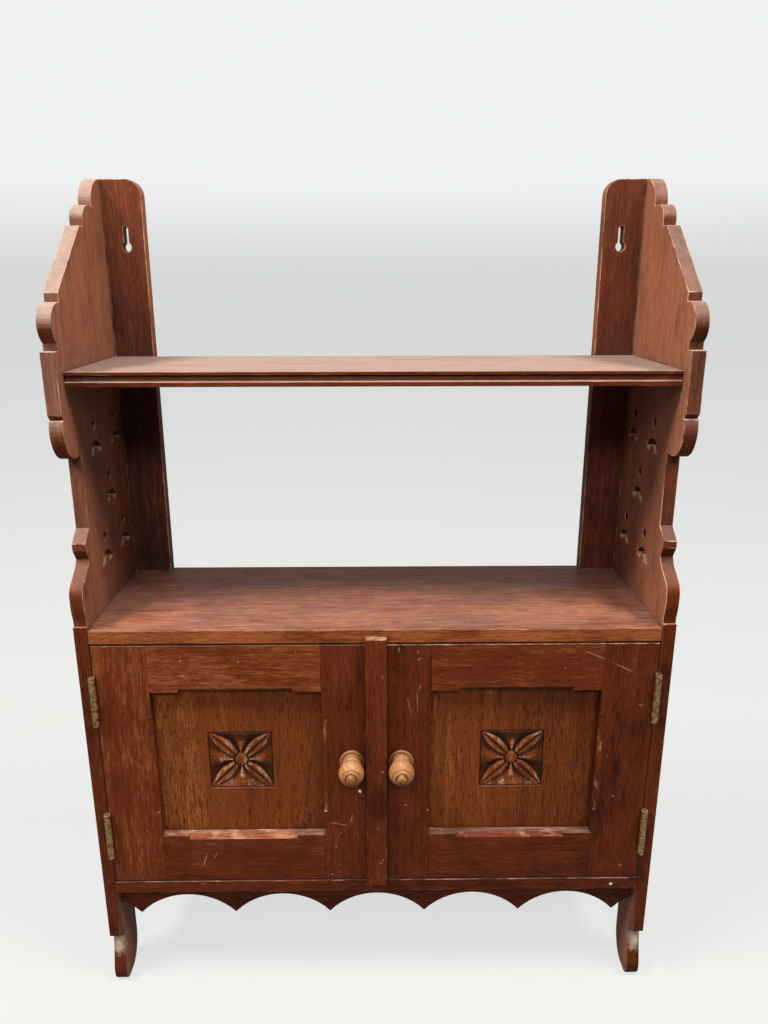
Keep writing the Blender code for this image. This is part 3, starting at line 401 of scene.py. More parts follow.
# %% [markdown]
# The second step is wear. A slow noise is added to the attribute bare, so the stain goes in ragged
# patches and not along a ruled line. Small pale flecks, where grit has chipped the varnish, are the
# cells of a Voronoi texture: a random colour per cell picks a few of them, more of them near the
# floor, where brooms and shoes reach.

# %% Timber, step 2: wear
FLECK_SPACING = 13
BROOM_HEIGHTS = (300, 140)


def wear_through(tree, colour, made, tints, flecks):
    """Takes the stain off bare places and flecks the rest; returns colour and the bare mask."""
    bare = add(tree, "Attribute", give="Fac", attribute_name="bare")
    place = add(tree, "VectorMath", {0: made["grain"], 1: per_mm(22, 9)}, operation="MULTIPLY")
    chance = add(tree, "TexNoise", {"Vector": place, "Scale": 1, "Detail": 4, "Roughness": 0.65})
    edge = add(tree, "Math", {0: bare, 1: chance}, operation="ADD")
    gone = add(tree, "MapRange", {0: edge, 1: 0.96, 2: 1.22}, **EASED)
    place = add(tree, "VectorMath", {0: made["wood"], 1: per_mm(30, 3)}, operation="MULTIPLY")
    stain = add(tree, "TexNoise", {"Vector": place, "Scale": 1, "Detail": 4})
    stain = add(tree, "MapRange", {0: stain, 1: 0.30, 2: 0.75}, **EASED)
    left = add(tree, "MapRange", {0: bare, 1: 0.4, 2: 1.0, 3: 0.8, 4: 0.0}, **EASED)
    stain = add(tree, "Math", {0: stain, 1: left}, operation="MULTIPLY")
    raw = add(tree, "Mix", {0: stain, 6: tints["raw"], 7: tints["thin"]}, 2, **TINTS)
    colour = add(tree, "Mix", {0: gone, 6: colour, 7: raw}, 2, **TINTS)

    cells = {"Vector": made["grain"], "Scale": 1000 / FLECK_SPACING}
    cells = add(tree, "TexVoronoi", cells, "Distance")
    draw = add(tree, "SeparateColor", {0: cells.node.outputs["Color"]})
    size = add(tree, "MapRange", {0: draw.node.outputs[1], 3: 0.02, 4: 0.065})
    spot = add(tree, "Math", {0: size, 1: cells}, operation="GREATER_THAN")
    few_above, most_below = BROOM_HEIGHTS
    low = {0: made["height"], 1: few_above * MM, 2: most_below * MM, 4: 0.28}
    draw = add(tree, "Math", {0: draw, 1: add(tree, "MapRange", low)}, operation="ADD")
    few = add(tree, "MapRange", {0: draw, 1: 0.70, 2: 0.72, 4: flecks})
    spot = add(tree, "Math", {0: spot, 1: few}, operation="MULTIPLY")
    colour = add(tree, "Mix", {0: spot, 6: colour, 7: tints["raw"]}, 2, **TINTS)
    return colour, gone


print("flecks are", FLECK_SPACING, "mm apart before most of them are dropped")

# %% [markdown]
# The third step is dirt and painted shade. Ambient Occlusion finds the corners and recesses, once for
# the last 12 mm and once, more weakly, for the last 60, and the attribute sunk gives the carved
# hollows, so all of them go brown-black: partly dirt that a duster misses, partly painted shade. Dust
# lies on whatever faces up, thicker in some places than in others, and the painted sheen, a pale haze
# where light would glint off the varnish, is laid on in the same way.

# %% Timber, step 3: dirt, painted shade, dust and painted sheen
NEAR_CORNER = 12
FAR_CORNER = 60


def soil(tree, colour, made, gone):
    """Darkens corners and hollows with dirt and painted shade, lays dust and painted sheen on tops;
    returns colour and the mask of dust and sheen.
    """
    # Dirt and painted shade: corners, recesses and carved hollows go dark brown.
    hollow = add(tree, "AmbientOcclusion", {"Distance": NEAR_CORNER * MM}, "AO", samples=6)
    dirt_and_shade_mask = add(tree, "MapRange", {0: hollow, 1: 0.85, 2: 0.25}, **EASED)
    corner = add(tree, "AmbientOcclusion", {"Distance": FAR_CORNER * MM}, "AO", samples=6)
    corner = add(tree, "MapRange", {0: corner, 1: 0.80, 2: 0.35, 4: 0.5}, **EASED)
    dirt_and_shade_mask = add(tree, "Math", {0: dirt_and_shade_mask, 1: corner}, operation="MAXIMUM")
    sunk = add(tree, "Attribute", give="Fac", attribute_name="sunk")
    sunk = add(tree, "Math", {0: sunk, 1: 1.35}, operation="MULTIPLY")
    dirt_and_shade_mask = add(tree, "Math", {0: dirt_and_shade_mask, 1: sunk}, operation="MAXIMUM")
    kept = add(tree, "MapRange", {0: gone, 3: 0.60, 4: 0.10})
    dirt_and_shade_mask = add(tree, "Math", {0: dirt_and_shade_mask, 1: kept}, operation="MULTIPLY")
    colour = add(tree, "Mix", {0: dirt_and_shade_mask, 6: colour, 7: linear("#1C0D07")}, 2, **TINTS)
    up = add(tree, "SeparateXYZ", {0: add(tree, "NewGeometry", give="Normal")}, "Z")
    level = add(tree, "MapRange", {0: up, 1: 0.75, 2: 0.98}, **EASED)
    place = add(tree, "VectorMath", {0: made["grain"], 1: per_mm(45, 2.5)}, operation="MULTIPLY")
    film = add(tree, "TexNoise", {"Vector": place, "Scale": 1, "Detail": 8, "Roughness": 0.8})
    film = add(tree, "MapRange", {0: film, 1: 0.30, 2: 0.72, 3: 0.00, 4: 0.24}, **EASED)
    dust_and_sheen = add(tree, "Math", {0: level, 1: film}, operation="MULTIPLY")
    # Painted sheen: a pale haze where light would glint off the varnish, added to the dust.
    painted_sheen = add(tree, "Attribute", give="Fac", attribute_name="painted_sheen")
    veil = add(tree, "MapRange", {0: made["streak"], 1: 0.2, 2: 0.8, 3: 0.7, 4: 1.3})
    dust_and_sheen = add(tree, "Math", {0: painted_sheen, 1: veil, 2: dust_and_sheen}, operation="MULTIPLY_ADD")
    colour = add(tree, "Mix", {0: dust_and_sheen, 6: colour, 7: linear("#CFC0B7")}, 2, **TINTS)
    return colour, dust_and_sheen


# Corners within these distances get dirt and painted shade.
print("dirt is looked for within", NEAR_CORNER, "and", FAR_CORNER, "mm of a corner")

# %% [markdown]
# Marks that belong to one place are worn spots. A Mapping node of the Texture kind carries the
# cabinet's own coordinates into a unit ball at that place, stretched and turned as the mark is, and
# a noise makes its limit ragged. There are the pale scoops of the two toes, chips and scratches on
# the doors, and two white flecks of paint. The list gives each mark's middle, half sizes and lean.

# %% Timber, step 4: worn spots
DOOR_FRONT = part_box("left_door_top_rail")[0].y / MM
STRIP_PROUD = 8.5
RAGGED_GRIT = 4


def on_door(across, up, length, width, lean, proud=0, reach=2):
    """A mark on the doors, in mm: proud is how far in front of them it lies, reach how deep it is."""
    return (across, DOOR_FRONT - proud, up), (length, reach, width), lean


TOE_SPOTS = [((side * 268.8, -58, 45.5), (9, 10, 14.5), 0) for side in (-1, 1)]
SCRATCHES = [
    on_door(21, 383.5, 3.4, 0.7, 82),
    on_door(38.6, 380.8, 3.0, 0.5, 58),
    on_door(40.9, 345, 2.8, 0.5, 68),
    on_door(203.5, 376.2, 14.5, 0.5, -23.6),
    on_door(229.5, 363.8, 15, 0.5, -27.3),
    on_door(-36.2, 195.4, 13, 0.5, -11),
    on_door(-25, 201, 8, 0.5, 76),
    on_door(-40.6, 168.6, 2.6, 0.7, 80),
    on_door(-35.4, 185, 2.2, 0.6, 85),
    on_door(-171, 154.5, 9.5, 0.5, 70),
    on_door(-160, 160, 6, 0.4, 60),
    on_door(244.2, 144.3, 3.2, 0.5, 40),
    on_door(-175, 126, 3.0, 0.8, 8, reach=4),
    on_door(39.8, 373.5, 2.6, 0.7, 40),
    on_door(31, 324.6, 12.5, 0.4, -78),
    on_door(38.4, 330, 11.5, 0.4, -88),
    on_door(230.7, 225.1, 3.0, 0.6, -35),
    on_door(249.3, 324.6, 3.2, 0.6, 4),
    on_door(-179, 357.9, 3.0, 0.6, -20),
    on_door(-180.1, 373.7, 1.4, 0.9, 0),
    on_door(-127, 371.8, 1.3, 0.8, 0),
    on_door(4, 156.3, 2.6, 0.6, 3, proud=STRIP_PROUD),
]
PAINT_FLECKS = [on_door(-16.2, 233, 1.9, 2.6, 20), on_door(236.6, 121.8, 2.3, 2.1, 0, reach=4)]


def worn_spots(tree, colour, spots, tint, share, soft=0.35):
    """Mixes a tint into the colour at each spot, up to share, with a soft limit."""
    place = add(tree, "TexCoord", give="Object")
    ragged = add(tree, "TexNoise", {"Vector": place, "Scale": 1000 / RAGGED_GRIT, "Detail": 4})
    mask = 0.0
    for at, half, lean in spots:
        seat = {"Vector": place, "Location": Vector(at) * MM, "Scale": Vector(half) * MM,
                "Rotation": (0, -math.radians(lean), 0)}
        own = add(tree, "Mapping", seat, vector_type="TEXTURE")
        far = add(tree, "VectorMath", {0: own}, "Value", operation="LENGTH")
        far = add(tree, "Math", {0: ragged, 1: 1.2, 2: far}, operation="MULTIPLY_ADD")
        spot = add(tree, "MapRange", {0: far, 1: 1.25 + soft, 2: 1.25 - soft, 4: share}, **EASED)
        mask = add(tree, "Math", {0: spot, 1: mask}, operation="MAXIMUM")
    return add(tree, "Mix", {0: mask, 6: colour, 7: linear(tint)}, 2, **TINTS)


print(len(TOE_SPOTS), "worn toes,", len(SCRATCHES), "scratches,", len(PAINT_FLECKS), "flecks of paint")

# %% [markdown]
# The steps come together on one shader. The varnish is thin: it mirrors a little, more where the
# streaks are dense, and nothing where the wood is bare or dusty. The same streaks, fibres and pores
# stand in slight relief. The frame's timber is sold as mahogany, a reddish hardwood, planed, stained
# red-brown and rubbed with shellac. A timber's noise gives each pattern's size along the grain, its
# size across it, both in mm, and its detail. Its share says how much each pattern adds to the tone.

# %% Stained mahogany
def new_material(name):
    """A material with its node tree and its shader."""
    material = bpy.data.materials.new(name)
    material.use_nodes = True
    return material, material.node_tree, material.node_tree.nodes["Principled BSDF"]


def timber(name, tints, marked=False, **figure):
    """A stained and varnished timber, with the marks of its years."""
    material, tree, shader = new_material(name)
    tints = {part: linear(code) for part, code in tints.items()}
    colour, made = grain_figure(tree, tints, figure)
    colour, gone = wear_through(tree, colour, made, tints, figure["flecks"])
    colour, dust_and_sheen = soil(tree, colour, made, gone)
    if marked:
        colour = worn_spots(tree, colour, TOE_SPOTS, "#C6B29C", share=0.9, soft=0.6)
        colour = worn_spots(tree, colour, SCRATCHES, "#C79C7C", share=0.7)
        colour = worn_spots(tree, colour, PAINT_FLECKS, "#FBF8F4", share=1.0)
    rough = add(tree, "Math", {0: made["streak"], 1: 0.24, 2: 0.36}, operation="MULTIPLY_ADD")
    for part in (gone, dust_and_sheen):
        rough = add(tree, "Math", {0: part, 1: 0.2, 2: rough}, operation="MULTIPLY_ADD")
    height = {0: made["pits"], 1: -0.7, 2: made["fibre"]}
    height = add(tree, "Math", height, operation="MULTIPLY_ADD")
    height = add(tree, "Math", {0: made["streak"], 1: 0.5, 2: height}, operation="MULTIPLY_ADD")
    bump = add(tree, "Bump", {"Strength": 0.4, "Distance": 0.25 * MM, "Height": height})
    tree.links.new(colour, shader.inputs["Base Color"])
    tree.links.new(rough, shader.inputs["Roughness"])
    tree.links.new(bump, shader.inputs["Normal"])
    shader.inputs["Specular IOR Level"].default_value = 0.18
    return material


finishes["mahogany"] = timber(
    "stained_mahogany",
    tints={"dark": "#2E0E04", "middle": "#692D12", "light": "#AA6238", "pore": "#240C04",
           "raw": "#C79F7E", "thin": "#9A5A34"},
    noise={"streak": (120, 7, 4), "fibre": (15, 1.0, 3), "blotch": (80, 40, 4), "pore": (8, 0.6, 1)},
    share={"streak": 0.8, "fibre": 1.6, "blotch": 1.6, "rings": 0.1},
    ring=5.5, sway=6, pore_share=0.45, flecks=0.7, marked=True,
)
print("mahogany nodes:", len(finishes["mahogany"].node_tree.nodes))

# %% [markdown]
# The carcass: two shaped sides, two back stiles, the shelf, the counter, the bottom board and the
# scalloped apron. The sides' piercings were cut through the stain or have rubbed clean, so their walls
# are pale, and in the arched slots the walls that don't face down are painted paler still, as if light
# from above fell on them. Stain took unevenly on the cut edges: the right side's front edge is darker
# than the left one's, and the edges of the counter and the back stiles are lighter than their faces.
# Beside the doors and under the counter the arrises kept their stain, so they are left unworn.

# %% Carcass rules
# How much of a normal points along an axis where a face looks that way squarely, aslant or slightly.
SQUARE = 0.7
SLANT = 0.3
SLIGHT = 0.2
SIDE_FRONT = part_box("left_side")[0].y
CUPBOARD_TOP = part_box("counter")[1].z
PAINTED_SHEEN_HEIGHT = 620
PIERCED_DEPTHS = (40, 150)
PIERCED_HEIGHTS = (440, 600)
MOTIF_STEP = 54.5
SLOT_HEIGHT = 20
SIDE_TONES = {"left": (0.30, 0.50, 0.94), "right": (0.18, 0.28, 1.05)}


def on_top(top, rest, rise=SQUARE):
    """A rule that gives one value where a face looks up and another elsewhere."""
    def rule(centre, normal):
        return top if normal.z > rise else rest

    return rule


def side_wear_and_light(centre, normal):
    """Fully bare, as painted light from above, where the arched slots' walls don't face down; half
    bare on other piercings; kept by the doors.
    """
    if centre.z < CUPBOARD_TOP:
        return UNWORN
    depth, height = (centre.y - SIDE_FRONT) / MM, centre.z / MM
    nearest, deepest = PIERCED_DEPTHS
    foot, head = PIERCED_HEIGHTS
    if abs(normal.x) > SLANT or not (nearest < depth < deepest and foot < height < head):
        return 0.0
    in_slot = (height - foot) % MOTIF_STEP < SLOT_HEIGHT
    # Painted light: slot walls that don't face down are made fully pale, as if lit from above.
    return 1.0 if in_slot and normal.z > -SLANT else 0.35


def side_tone(centre, normal):
    """One tone for the front edge beside the doors, one for the edge above and one for the faces."""
    by_doors, above, face = SIDE_TONES["left" if centre.x < 0 else "right"]
    if normal.y < -SLIGHT:
        return by_doors if centre.z < CUPBOARD_TOP else above
    return face


def side_painted_sheen(centre, normal):
    """Painted sheen: strong on edges that slope up, where light would glint, slight elsewhere, and
    less on the right.
    """
    if abs(normal.x) > SQUARE:
        return 0.09
    rising = ease(normal.z, -0.3, 0.6) * ease(centre.z, CUPBOARD_TOP, PAINTED_SHEEN_HEIGHT * MM)
    return 0.40 * rising if centre.x < 0 else 0.15 * rising


def back_stile_tone(centre, normal):
    """Pale edges, and faces that are darker on the left."""
    if abs(normal.x) > SQUARE:
        return 0.8
    return 0.04 if centre.x < 0 else 0.20


def counter_wear(centre, normal):
    """Keeps the stain on the arris over the doors."""
    return UNWORN if normal.z < -SLIGHT else 0


print("the piercings lie between", PIERCED_HEIGHTS, "mm above the floor")

# %% [markdown]
# Each board then needs one line: the way its grain runs, its tone, the width of its arris and where
# the heart of its tree lies, so that its rings curve in their own way.

# %% Carcass boards
# The painted sheen on the sides, the back stiles and the shelf's top stands for light glinting off the
# varnish.
for side, pith, wear in (("left", (30, 44), 0.56), ("right", (-26, 41), 0.62)):
    board(f"{side}_side", "z", "mahogany", side_tone, pith=pith, wear=wear, bare=side_wear_and_light,
          painted_sheen=side_painted_sheen)
# The back stiles' top ends are painted lighter, as if more light fell on them there.
for side, pith, painted_top_light in (("left", (24, 38), 0.5), ("right", (31, 26), 0.1)):
    board(f"{side}_back_stile", "z", "mahogany", back_stile_tone, arris=0.8, pith=pith, wear=0.6,
          painted_sheen=0.02, painted_top_light=painted_top_light)
board("shelf", "x", "mahogany", on_top(0.60, 0.36), arris=0.35, pith=(60, 40), painted_sheen=on_top(0.31, 0))
board("counter", "x", "mahogany", on_top(0.72, 0.96), arris=0.8, pith=(48, 52), wear=0.45,
      bare=counter_wear)
board("bottom_board", "x", "mahogany", 0.29, pith=(30, 33), wear=0.52)
board("apron", "x", "mahogany", 0.14, arris=0.5, pith=(22, 27), wear=0.2)
board("door_stop", "x", "mahogany", 0.45, arris=0.6)

# %% [markdown]
# Each door is a frame of two stiles and two rails, with the panel held in a groove. Stiles stand
# with upright grain and rails lie between them, so the joints show as a change of direction.
# The chamfers round the panel are rubbed by hands and dusters, most of all those that face up, and on
# the left door the stain there is thin too. Those that face left are made barer as well, which paints
# in the light that falls on them from the left. The cover strip is nailed to the right door and hides
# the gap between the two. Its top end is bare end grain, and so is the top arris of the right door,
# which rubs under the counter.

# %% Door frames and cover strip
# A face whose normal points further forward than this is the flat front and no chamfer.
FULL_FRONT = 0.95
DOOR_MIDDLE = sum(corner.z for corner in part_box("left_door_panel")) / 2
RUBBED_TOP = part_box("right_door_top_rail")[1].z - 1.5 * MM


def chamfer_wear_and_light(centre, normal):
    """Bare on the chamfers and on the bottom rails' ledges, most of all on the left one's; chamfers
    that face up are rubbed more, and those that face left are made barer as painted light.
    """
    chamfer = -FULL_FRONT < normal.y < -SLANT and max(abs(normal.x), abs(normal.z)) > SLANT
    ledge = normal.z > SQUARE and centre.z < DOOR_MIDDLE
    if not (chamfer or ledge):
        return 0.0
    if normal.z > SLANT and centre.x < 0 and centre.z < DOOR_MIDDLE:
        return 0.50
    # Painted light: chamfers that face left are made as bare as those that face up, as light from the
    # left falls on them.
    return 0.36 if normal.z < SLANT and normal.x > -SLANT else 0.44


def rubbed_door(centre, normal):
    """Bare on the top front arris too."""
    return 0.6 if centre.z > RUBBED_TOP and normal.y < -SLIGHT else chamfer_wear_and_light(centre, normal)


# Each part's grain direction and, in mm, where the heart of its tree lies across the board.
DOOR_PARTS = {
    "hinge_stile": ("z", 24),
    "meeting_stile": ("z", 42),
    "top_rail": ("x", 28),
    "bottom_rail": ("x", 24),
}
# Each door's tones, in the order of its parts. The left door's are lighter, partly painted light, as
# more light falls on that door from the upper left.
DOOR_TONES = {
    "left": (0.65, 0.37, 0.73, on_top(0.70, 0.42, SLANT)),
    "right": (0.22, 0.31, 0.47, 0.28),
}
DOOR_WEAR = {"left": chamfer_wear_and_light, "right": rubbed_door}
HEART_DEPTH = {"left": 58, "right": 65}
for side, tones in DOOR_TONES.items():
    for (part, (along, heart)), tone in zip(DOOR_PARTS.items(), tones):
        joined = [f"{side}_door_{other}" for other, (way, _) in DOOR_PARTS.items() if way != along]
        wear = 0.40 if part == "meeting_stile" else 0.20
        board(f"{side}_door_{part}", along, "mahogany", tone, arris=0.6, wear=wear,
              pith=(heart, HEART_DEPTH[side]), bare=DOOR_WEAR[side], neighbours=joined)
board("cover_strip", "z", "mahogany", 0.38, arris=0.5, pith=(14, 21), wear=0.46,
      bare=on_top(0.52, 0, SLANT), least=3)

# %% [markdown]
# The door panels are oak, 5 mm thick and stained golden brown, with a rosette cut into each: four
# veined petals round a boss. The ground between them slopes down from an incised square, and a ridge
# runs through the middle of each quarter. The carver works down from the flat face, so the height of
# the work is a rule: for a point on the panel it gives the depth of the cut, how rubbed the wood is
# there, with painted light on the low end of the bottom quarter, and how dark it is, from dirt that
# has settled and from painted shade in the grooves, in the deep ground, under the top edge and below
# the ridges of the side quarters. The ground comes first, and the petals and the boss are then blended
# into it.

# %% Rosette
ROSETTE_HALF = 30.3
LINE_DEPTH = 1.5
LINE_HALF = 1.0
BOSS_RADIUS = 6.2
MOAT_WIDTH = 1.6
MOAT_DEPTH = 2.4
PETAL_LENGTH = 35.0
PETAL_WIDTH = 6.4


def incised(reach):
    """The share of the incised square's groove at this distance from the middle, 0 to 1."""
    return max(0.0, 1 - abs(reach - ROSETTE_HALF) / LINE_HALF)


def ground(across, up, tool, chips):
    """Depth, rubbed share with painted light, and share of dirt and painted shade, of the ground
    between the petals.
    """
    reach, side = max(abs(across), abs(up)), min(abs(across), abs(up))
    line = incised(reach)
    ridge = side / max(2.0, reach - 7.0)
    slope = ease(ROSETTE_HALF - reach, -2, 14)
    depth = (0.9 + 2.6 * ease(ridge, 0.0, 0.75)) * slope + 0.35 * tool + 0.2 * chips
    crest = (1 - ease(ridge, 0.10, 0.55)) * ease(ROSETTE_HALF - reach, 5, 12)
    # Painted light: the low end of the bottom quarter is made paler and cleaner, as if light from
    # above fell on it.
    foot = ease(-up, 15, 24)
    rubbed_and_lit = (0.58 + 0.2 * chips) * max(crest, 0.85 * foot)
    # Dirt and painted shade: darker deep by the petals and towards the top edge of the square.
    dirt_and_shade = 0.54 + 0.45 * ease(ridge, 0.3, 0.9) - 0.8 * crest + 0.25 * ease(up, 4, 16) + 0.3 * chips
    # Painted shade below the ridges of the side quarters, painted light above them.
    if abs(across) > abs(up):
        dirt_and_shade += ease(ridge, 0.05, 0.4) * (0.55 * ease(-up, 0, 5) - 0.35 * ease(up, 0, 5))
    return max(depth, LINE_DEPTH * line), rubbed_and_lit, max(0.95 * line, dirt_and_shade - 0.4 * foot)


def petal(across, up, chips, cut):
    """Blends a petal with its vein, and the line round it, into the ground given by cut."""
    depth, rubbed_and_lit, dirt_and_shade = cut
    stem = (abs(across) + abs(up)) / math.sqrt(2)
    off = abs(abs(across) - abs(up)) / math.sqrt(2)
    share = (stem - BOSS_RADIUS) / PETAL_LENGTH
    if not 0 <= share <= 1:
        return cut
    place = off / (PETAL_WIDTH * math.sin(math.pi * (0.15 + 0.80 * share)))
    vein = 1 - ease(place, 0.04, 0.26)
    blade = 0.2 + 1.4 * vein + 0.9 * ease(place, 0.62, 1.0) + 0.12 * chips
    inside = 1 - ease(place, 0.94, 1.06)
    outline = max(0.0, 1 - abs(place - 1.16) / 0.26)
    depth += 0.4 * outline
    depth += (min(blade, depth) - depth) * inside
    rubbed_and_lit += ((0.53 + 0.14 * chips) * ease(place, 0.2, 0.45) - rubbed_and_lit) * inside
    # Dirt and painted shade in the vein and in the line round the petal.
    dirt_and_shade += (0.95 * vein - dirt_and_shade) * inside
    return depth, rubbed_and_lit, max(dirt_and_shade, 0.95 * outline)


def boss(radius, cut):
    """Blends the domed boss and the moat round it into the work given by cut."""
    if radius >= BOSS_RADIUS + MOAT_WIDTH:
        return cut
    depth, rubbed_and_lit, dirt_and_shade = cut
    dome = 0.1 + 0.9 * (radius / BOSS_RADIUS) ** 3
    inside = 1 - ease(radius, BOSS_RADIUS - 0.4, BOSS_RADIUS + 0.5)
    moat = max(depth, MOAT_DEPTH)
    rubbed_and_lit += (0.49 - rubbed_and_lit) * inside
    # Dirt and painted shade in the moat.
    dirt_and_shade = max(dirt_and_shade * (1 - inside), 0.95 * (1 - abs(radius - BOSS_RADIUS - 0.5) / 1.1))
    return moat + (dome - moat) * inside, rubbed_and_lit, dirt_and_shade


def carve(across, up, seed):
    """Depth of the cut in mm, rubbed share with painted light, and share of dirt and painted shade, at
    mm from the rosette's middle.
    """
    reach = max(abs(across), abs(up))
    if reach > ROSETTE_HALF:
        return LINE_DEPTH * incised(reach), 0.0, 0.9 * incised(reach)
    tool = noise.noise(Vector((across * 0.4, up * 0.4, seed)))
    chips = noise.noise(Vector((across * 0.9, up * 0.5, seed + 7)))
    cut = petal(across, up, chips, ground(across, up, tool, chips))
    depth, rubbed_and_lit, dirt_and_shade = boss(math.hypot(across, up), cut)
    return depth, rubbed_and_lit, min(1.0, max(0.0, dirt_and_shade))


depths = [round(carve(*at, 1)[0], 2) for at in ((0, 0), (12, 15), (9, 18))]
print("depth of the boss, a petal and the ground, in mm:", depths)

# %% [markdown]
# A fine grid takes that rule: its vertices are pushed in by the depth of the cut. Then the grid's
# rim is extruded twice, out to the panel's edges and back through its thickness, and one last face
# closes the back. The oak's pores are longer and closer than the frame's, and each panel shades from
# a golden side to a darker one.

# %% Carved oak panels
PATCH_HALF = 32.0
PATCH_STEPS = 160
SEEDS = {"left": 4, "right": 5}


def carved_panel(side, tone_left, tone_right, pith):
    """A panel with its rosette; the two tones are those of its left and right edges."""
    node = f"{side}_door_panel"
    low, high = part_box(node)
    middle = (low + high) / 2
    seat = Matrix.Translation((middle.x, low.y, middle.z)) @ Matrix.Rotation(math.radians(90), 4, "X")
    shape = bmesh.new()
    bmesh.ops.create_grid(
        shape, x_segments=PATCH_STEPS, y_segments=PATCH_STEPS, size=PATCH_HALF * MM, matrix=seat
    )
    bare = shape.verts.layers.float.new("bare")
    sunk = shape.verts.layers.float.new("sunk")
    for vertex in shape.verts:
        across, up = (vertex.co.x - middle.x) / MM, (vertex.co.z - middle.z) / MM
        # The rubbed share, with its painted light, goes to bare, and the share of dirt and painted
        # shade goes to sunk.
        depth, vertex[bare], vertex[sunk] = carve(across, up, SEEDS[side])
        vertex.co.y += depth * MM

    rim = [edge for edge in shape.edges if edge.is_boundary]
    face_rim = bmesh.ops.extrude_edge_only(shape, edges=rim)["geom"]
    moved = [item for item in face_rim if isinstance(item, bmesh.types.BMVert)]
    size = ((high.x - low.x) / (2 * PATCH_HALF * MM), 1, (high.z - low.z) / (2 * PATCH_HALF * MM))
    bmesh.ops.scale(shape, vec=size, verts=moved, space=Matrix.Translation(-middle))
    rim = [edge for edge in shape.edges if edge.is_boundary]
    back_rim = bmesh.ops.extrude_edge_only(shape, edges=rim)["geom"]
    moved = [item for item in back_rim if isinstance(item, bmesh.types.BMVert)]
    bmesh.ops.translate(shape, vec=(0, high.y - low.y, 0), verts=moved)
    bmesh.ops.contextual_create(shape, geom=[edge for edge in shape.edges if edge.is_boundary])
    bmesh.ops.recalc_face_normals(shape, faces=shape.faces)

    tint = shape.verts.layers.float.new("tone")
    for vertex in shape.verts:
        share = (vertex.co.x - low.x) / (high.x - low.x)
        vertex[tint] = tone_left + (tone_right - tone_left) * ease(share, 0.2, 0.7)
    sharpen(shape, 60)
    piece = show(f"{node}_carved", shape, "stained_oak", node)
    write_grain(piece, "z", pith)


finishes["stained_oak"] = timber(
    "stained_oak",
    tints={"dark": "#48200A", "middle": "#7E401B", "light": "#BA763A", "pore": "#2C1206",
           "raw": "#B8967A", "thin": "#835A3E"},
    noise={"streak": (150, 11, 5), "fibre": (22, 1.3, 3), "blotch": (110, 40, 3), "pore": (9, 0.7, 1)},
    share={"streak": 0.9, "fibre": 1.2, "blotch": 1.0, "rings": 0.2},
    ring=12, sway=8, pore_share=0.85, flecks=0.3,
)
carved_panel("left", 0.67, 0.36, pith=(44, 36))
carved_panel("right", 0.56, 0.13, pith=(-40, 30))

# %% [markdown]
# The knobs are beech, turned on a lathe, which is exactly what spin does: half of the section is
# drawn as a chain of vertices and turned once round. The collar sits on the door, a fine step parts
# it from the cove of the neck, and the ball is cut by a ring before it ends in a small button. The
# gouge leaves bands of darker and lighter wood, dirt sits in the neck and the rings, and the end
# grain of the button has drunk the finish and gone dark.

# %% Turned knobs
KNOB_TURNS = 72
KNOB_LENGTH = 36
BALL_RADIUS = 12
BALL_MIDDLE = 20.6


def ball_arc(first, last, steps):
    """Points on the knob's ball between two angles, in degrees from its widest ring."""
    points = []
    for k in range(steps + 1):
        turn = math.radians(first + (last - first) * k / steps)
        points.append((BALL_RADIUS * math.cos(turn), BALL_MIDDLE + BALL_RADIUS * math.sin(turn)))
    return points


def knob_section():
    """Half section of a knob as (radius, distance from the door, tone), sizes in mm."""
    collar = [(0, 0.3), (10.6, 0.3), (11.5, 0.5), (11.8, 1.1), (11.8, 2.6), (11.4, 3.1)]
    step = [(10.4, 3.3), (9.6, 3.5)]
    cove = [(9.0 - 2.1 * math.sin(math.pi * k / 8), 4.0 + 5.4 * k / 8) for k in range(9)]
    ball = ball_arc(-50, 42, 18)
    ring = [(8.5, 28.4), (8.3, 28.7), (8.4, 29.0)]
    crown = ball_arc(45, 60, 4)
    groove = [(5.6, 30.7), (5.1, 30.6), (4.8, 31.1)]
    button = [(4.7, 32.6), (4.5, 33.8), (3.9, 34.9), (2.9, 35.6), (1.4, KNOB_LENGTH), (0, KNOB_LENGTH)]
    tones = (
        (collar, 0.56), (step, 0.0), (cove, 0.42), (ball, 0.62),
        (ring, 0.0), (crown, 0.55), (groove, 0.05), (button, 0.16),
    )
    return [(*point, tone) for points, tone in tones for point in points]


def knob(side):
    """A knob turned about the middle of its solid, with its collar on the door."""
    node = f"{side}_door_knob"
    low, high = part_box(node)
    door = low.y + KNOB_LENGTH * MM
    shape = bmesh.new()
    tint = shape.verts.layers.float.new("tone")
    corners = []
    for radius, out, tone in knob_section():
        corners.append(shape.verts.new((radius * MM, 0, out * MM)))
        corners[-1][tint] = tone + 0.35 * noise.noise(Vector((SEEDS[side], 0.4, out * 0.9)))
    chain = [shape.edges.new(pair) for pair in zip(corners, corners[1:])]
    bmesh.ops.spin(
        shape, geom=corners + chain, cent=(0, 0, 0), axis=(0, 0, 1), angle=math.tau,
        steps=KNOB_TURNS, use_merge=True,
    )
    bmesh.ops.remove_doubles(shape, verts=shape.verts, dist=1e-6)
    bmesh.ops.recalc_face_normals(shape, faces=shape.faces)
    seat = Matrix.Translation(((low.x + high.x) / 2, door, (low.z + high.z) / 2))
    seat = seat @ Matrix.Rotation(math.radians(90), 4, "X")
    bmesh.ops.transform(shape, matrix=seat, verts=shape.verts)
    sharpen(shape, 50)
    piece = show(f"{node}_turned", shape, "beech", node)
    write_grain(piece, "y", pith=(7, 9))


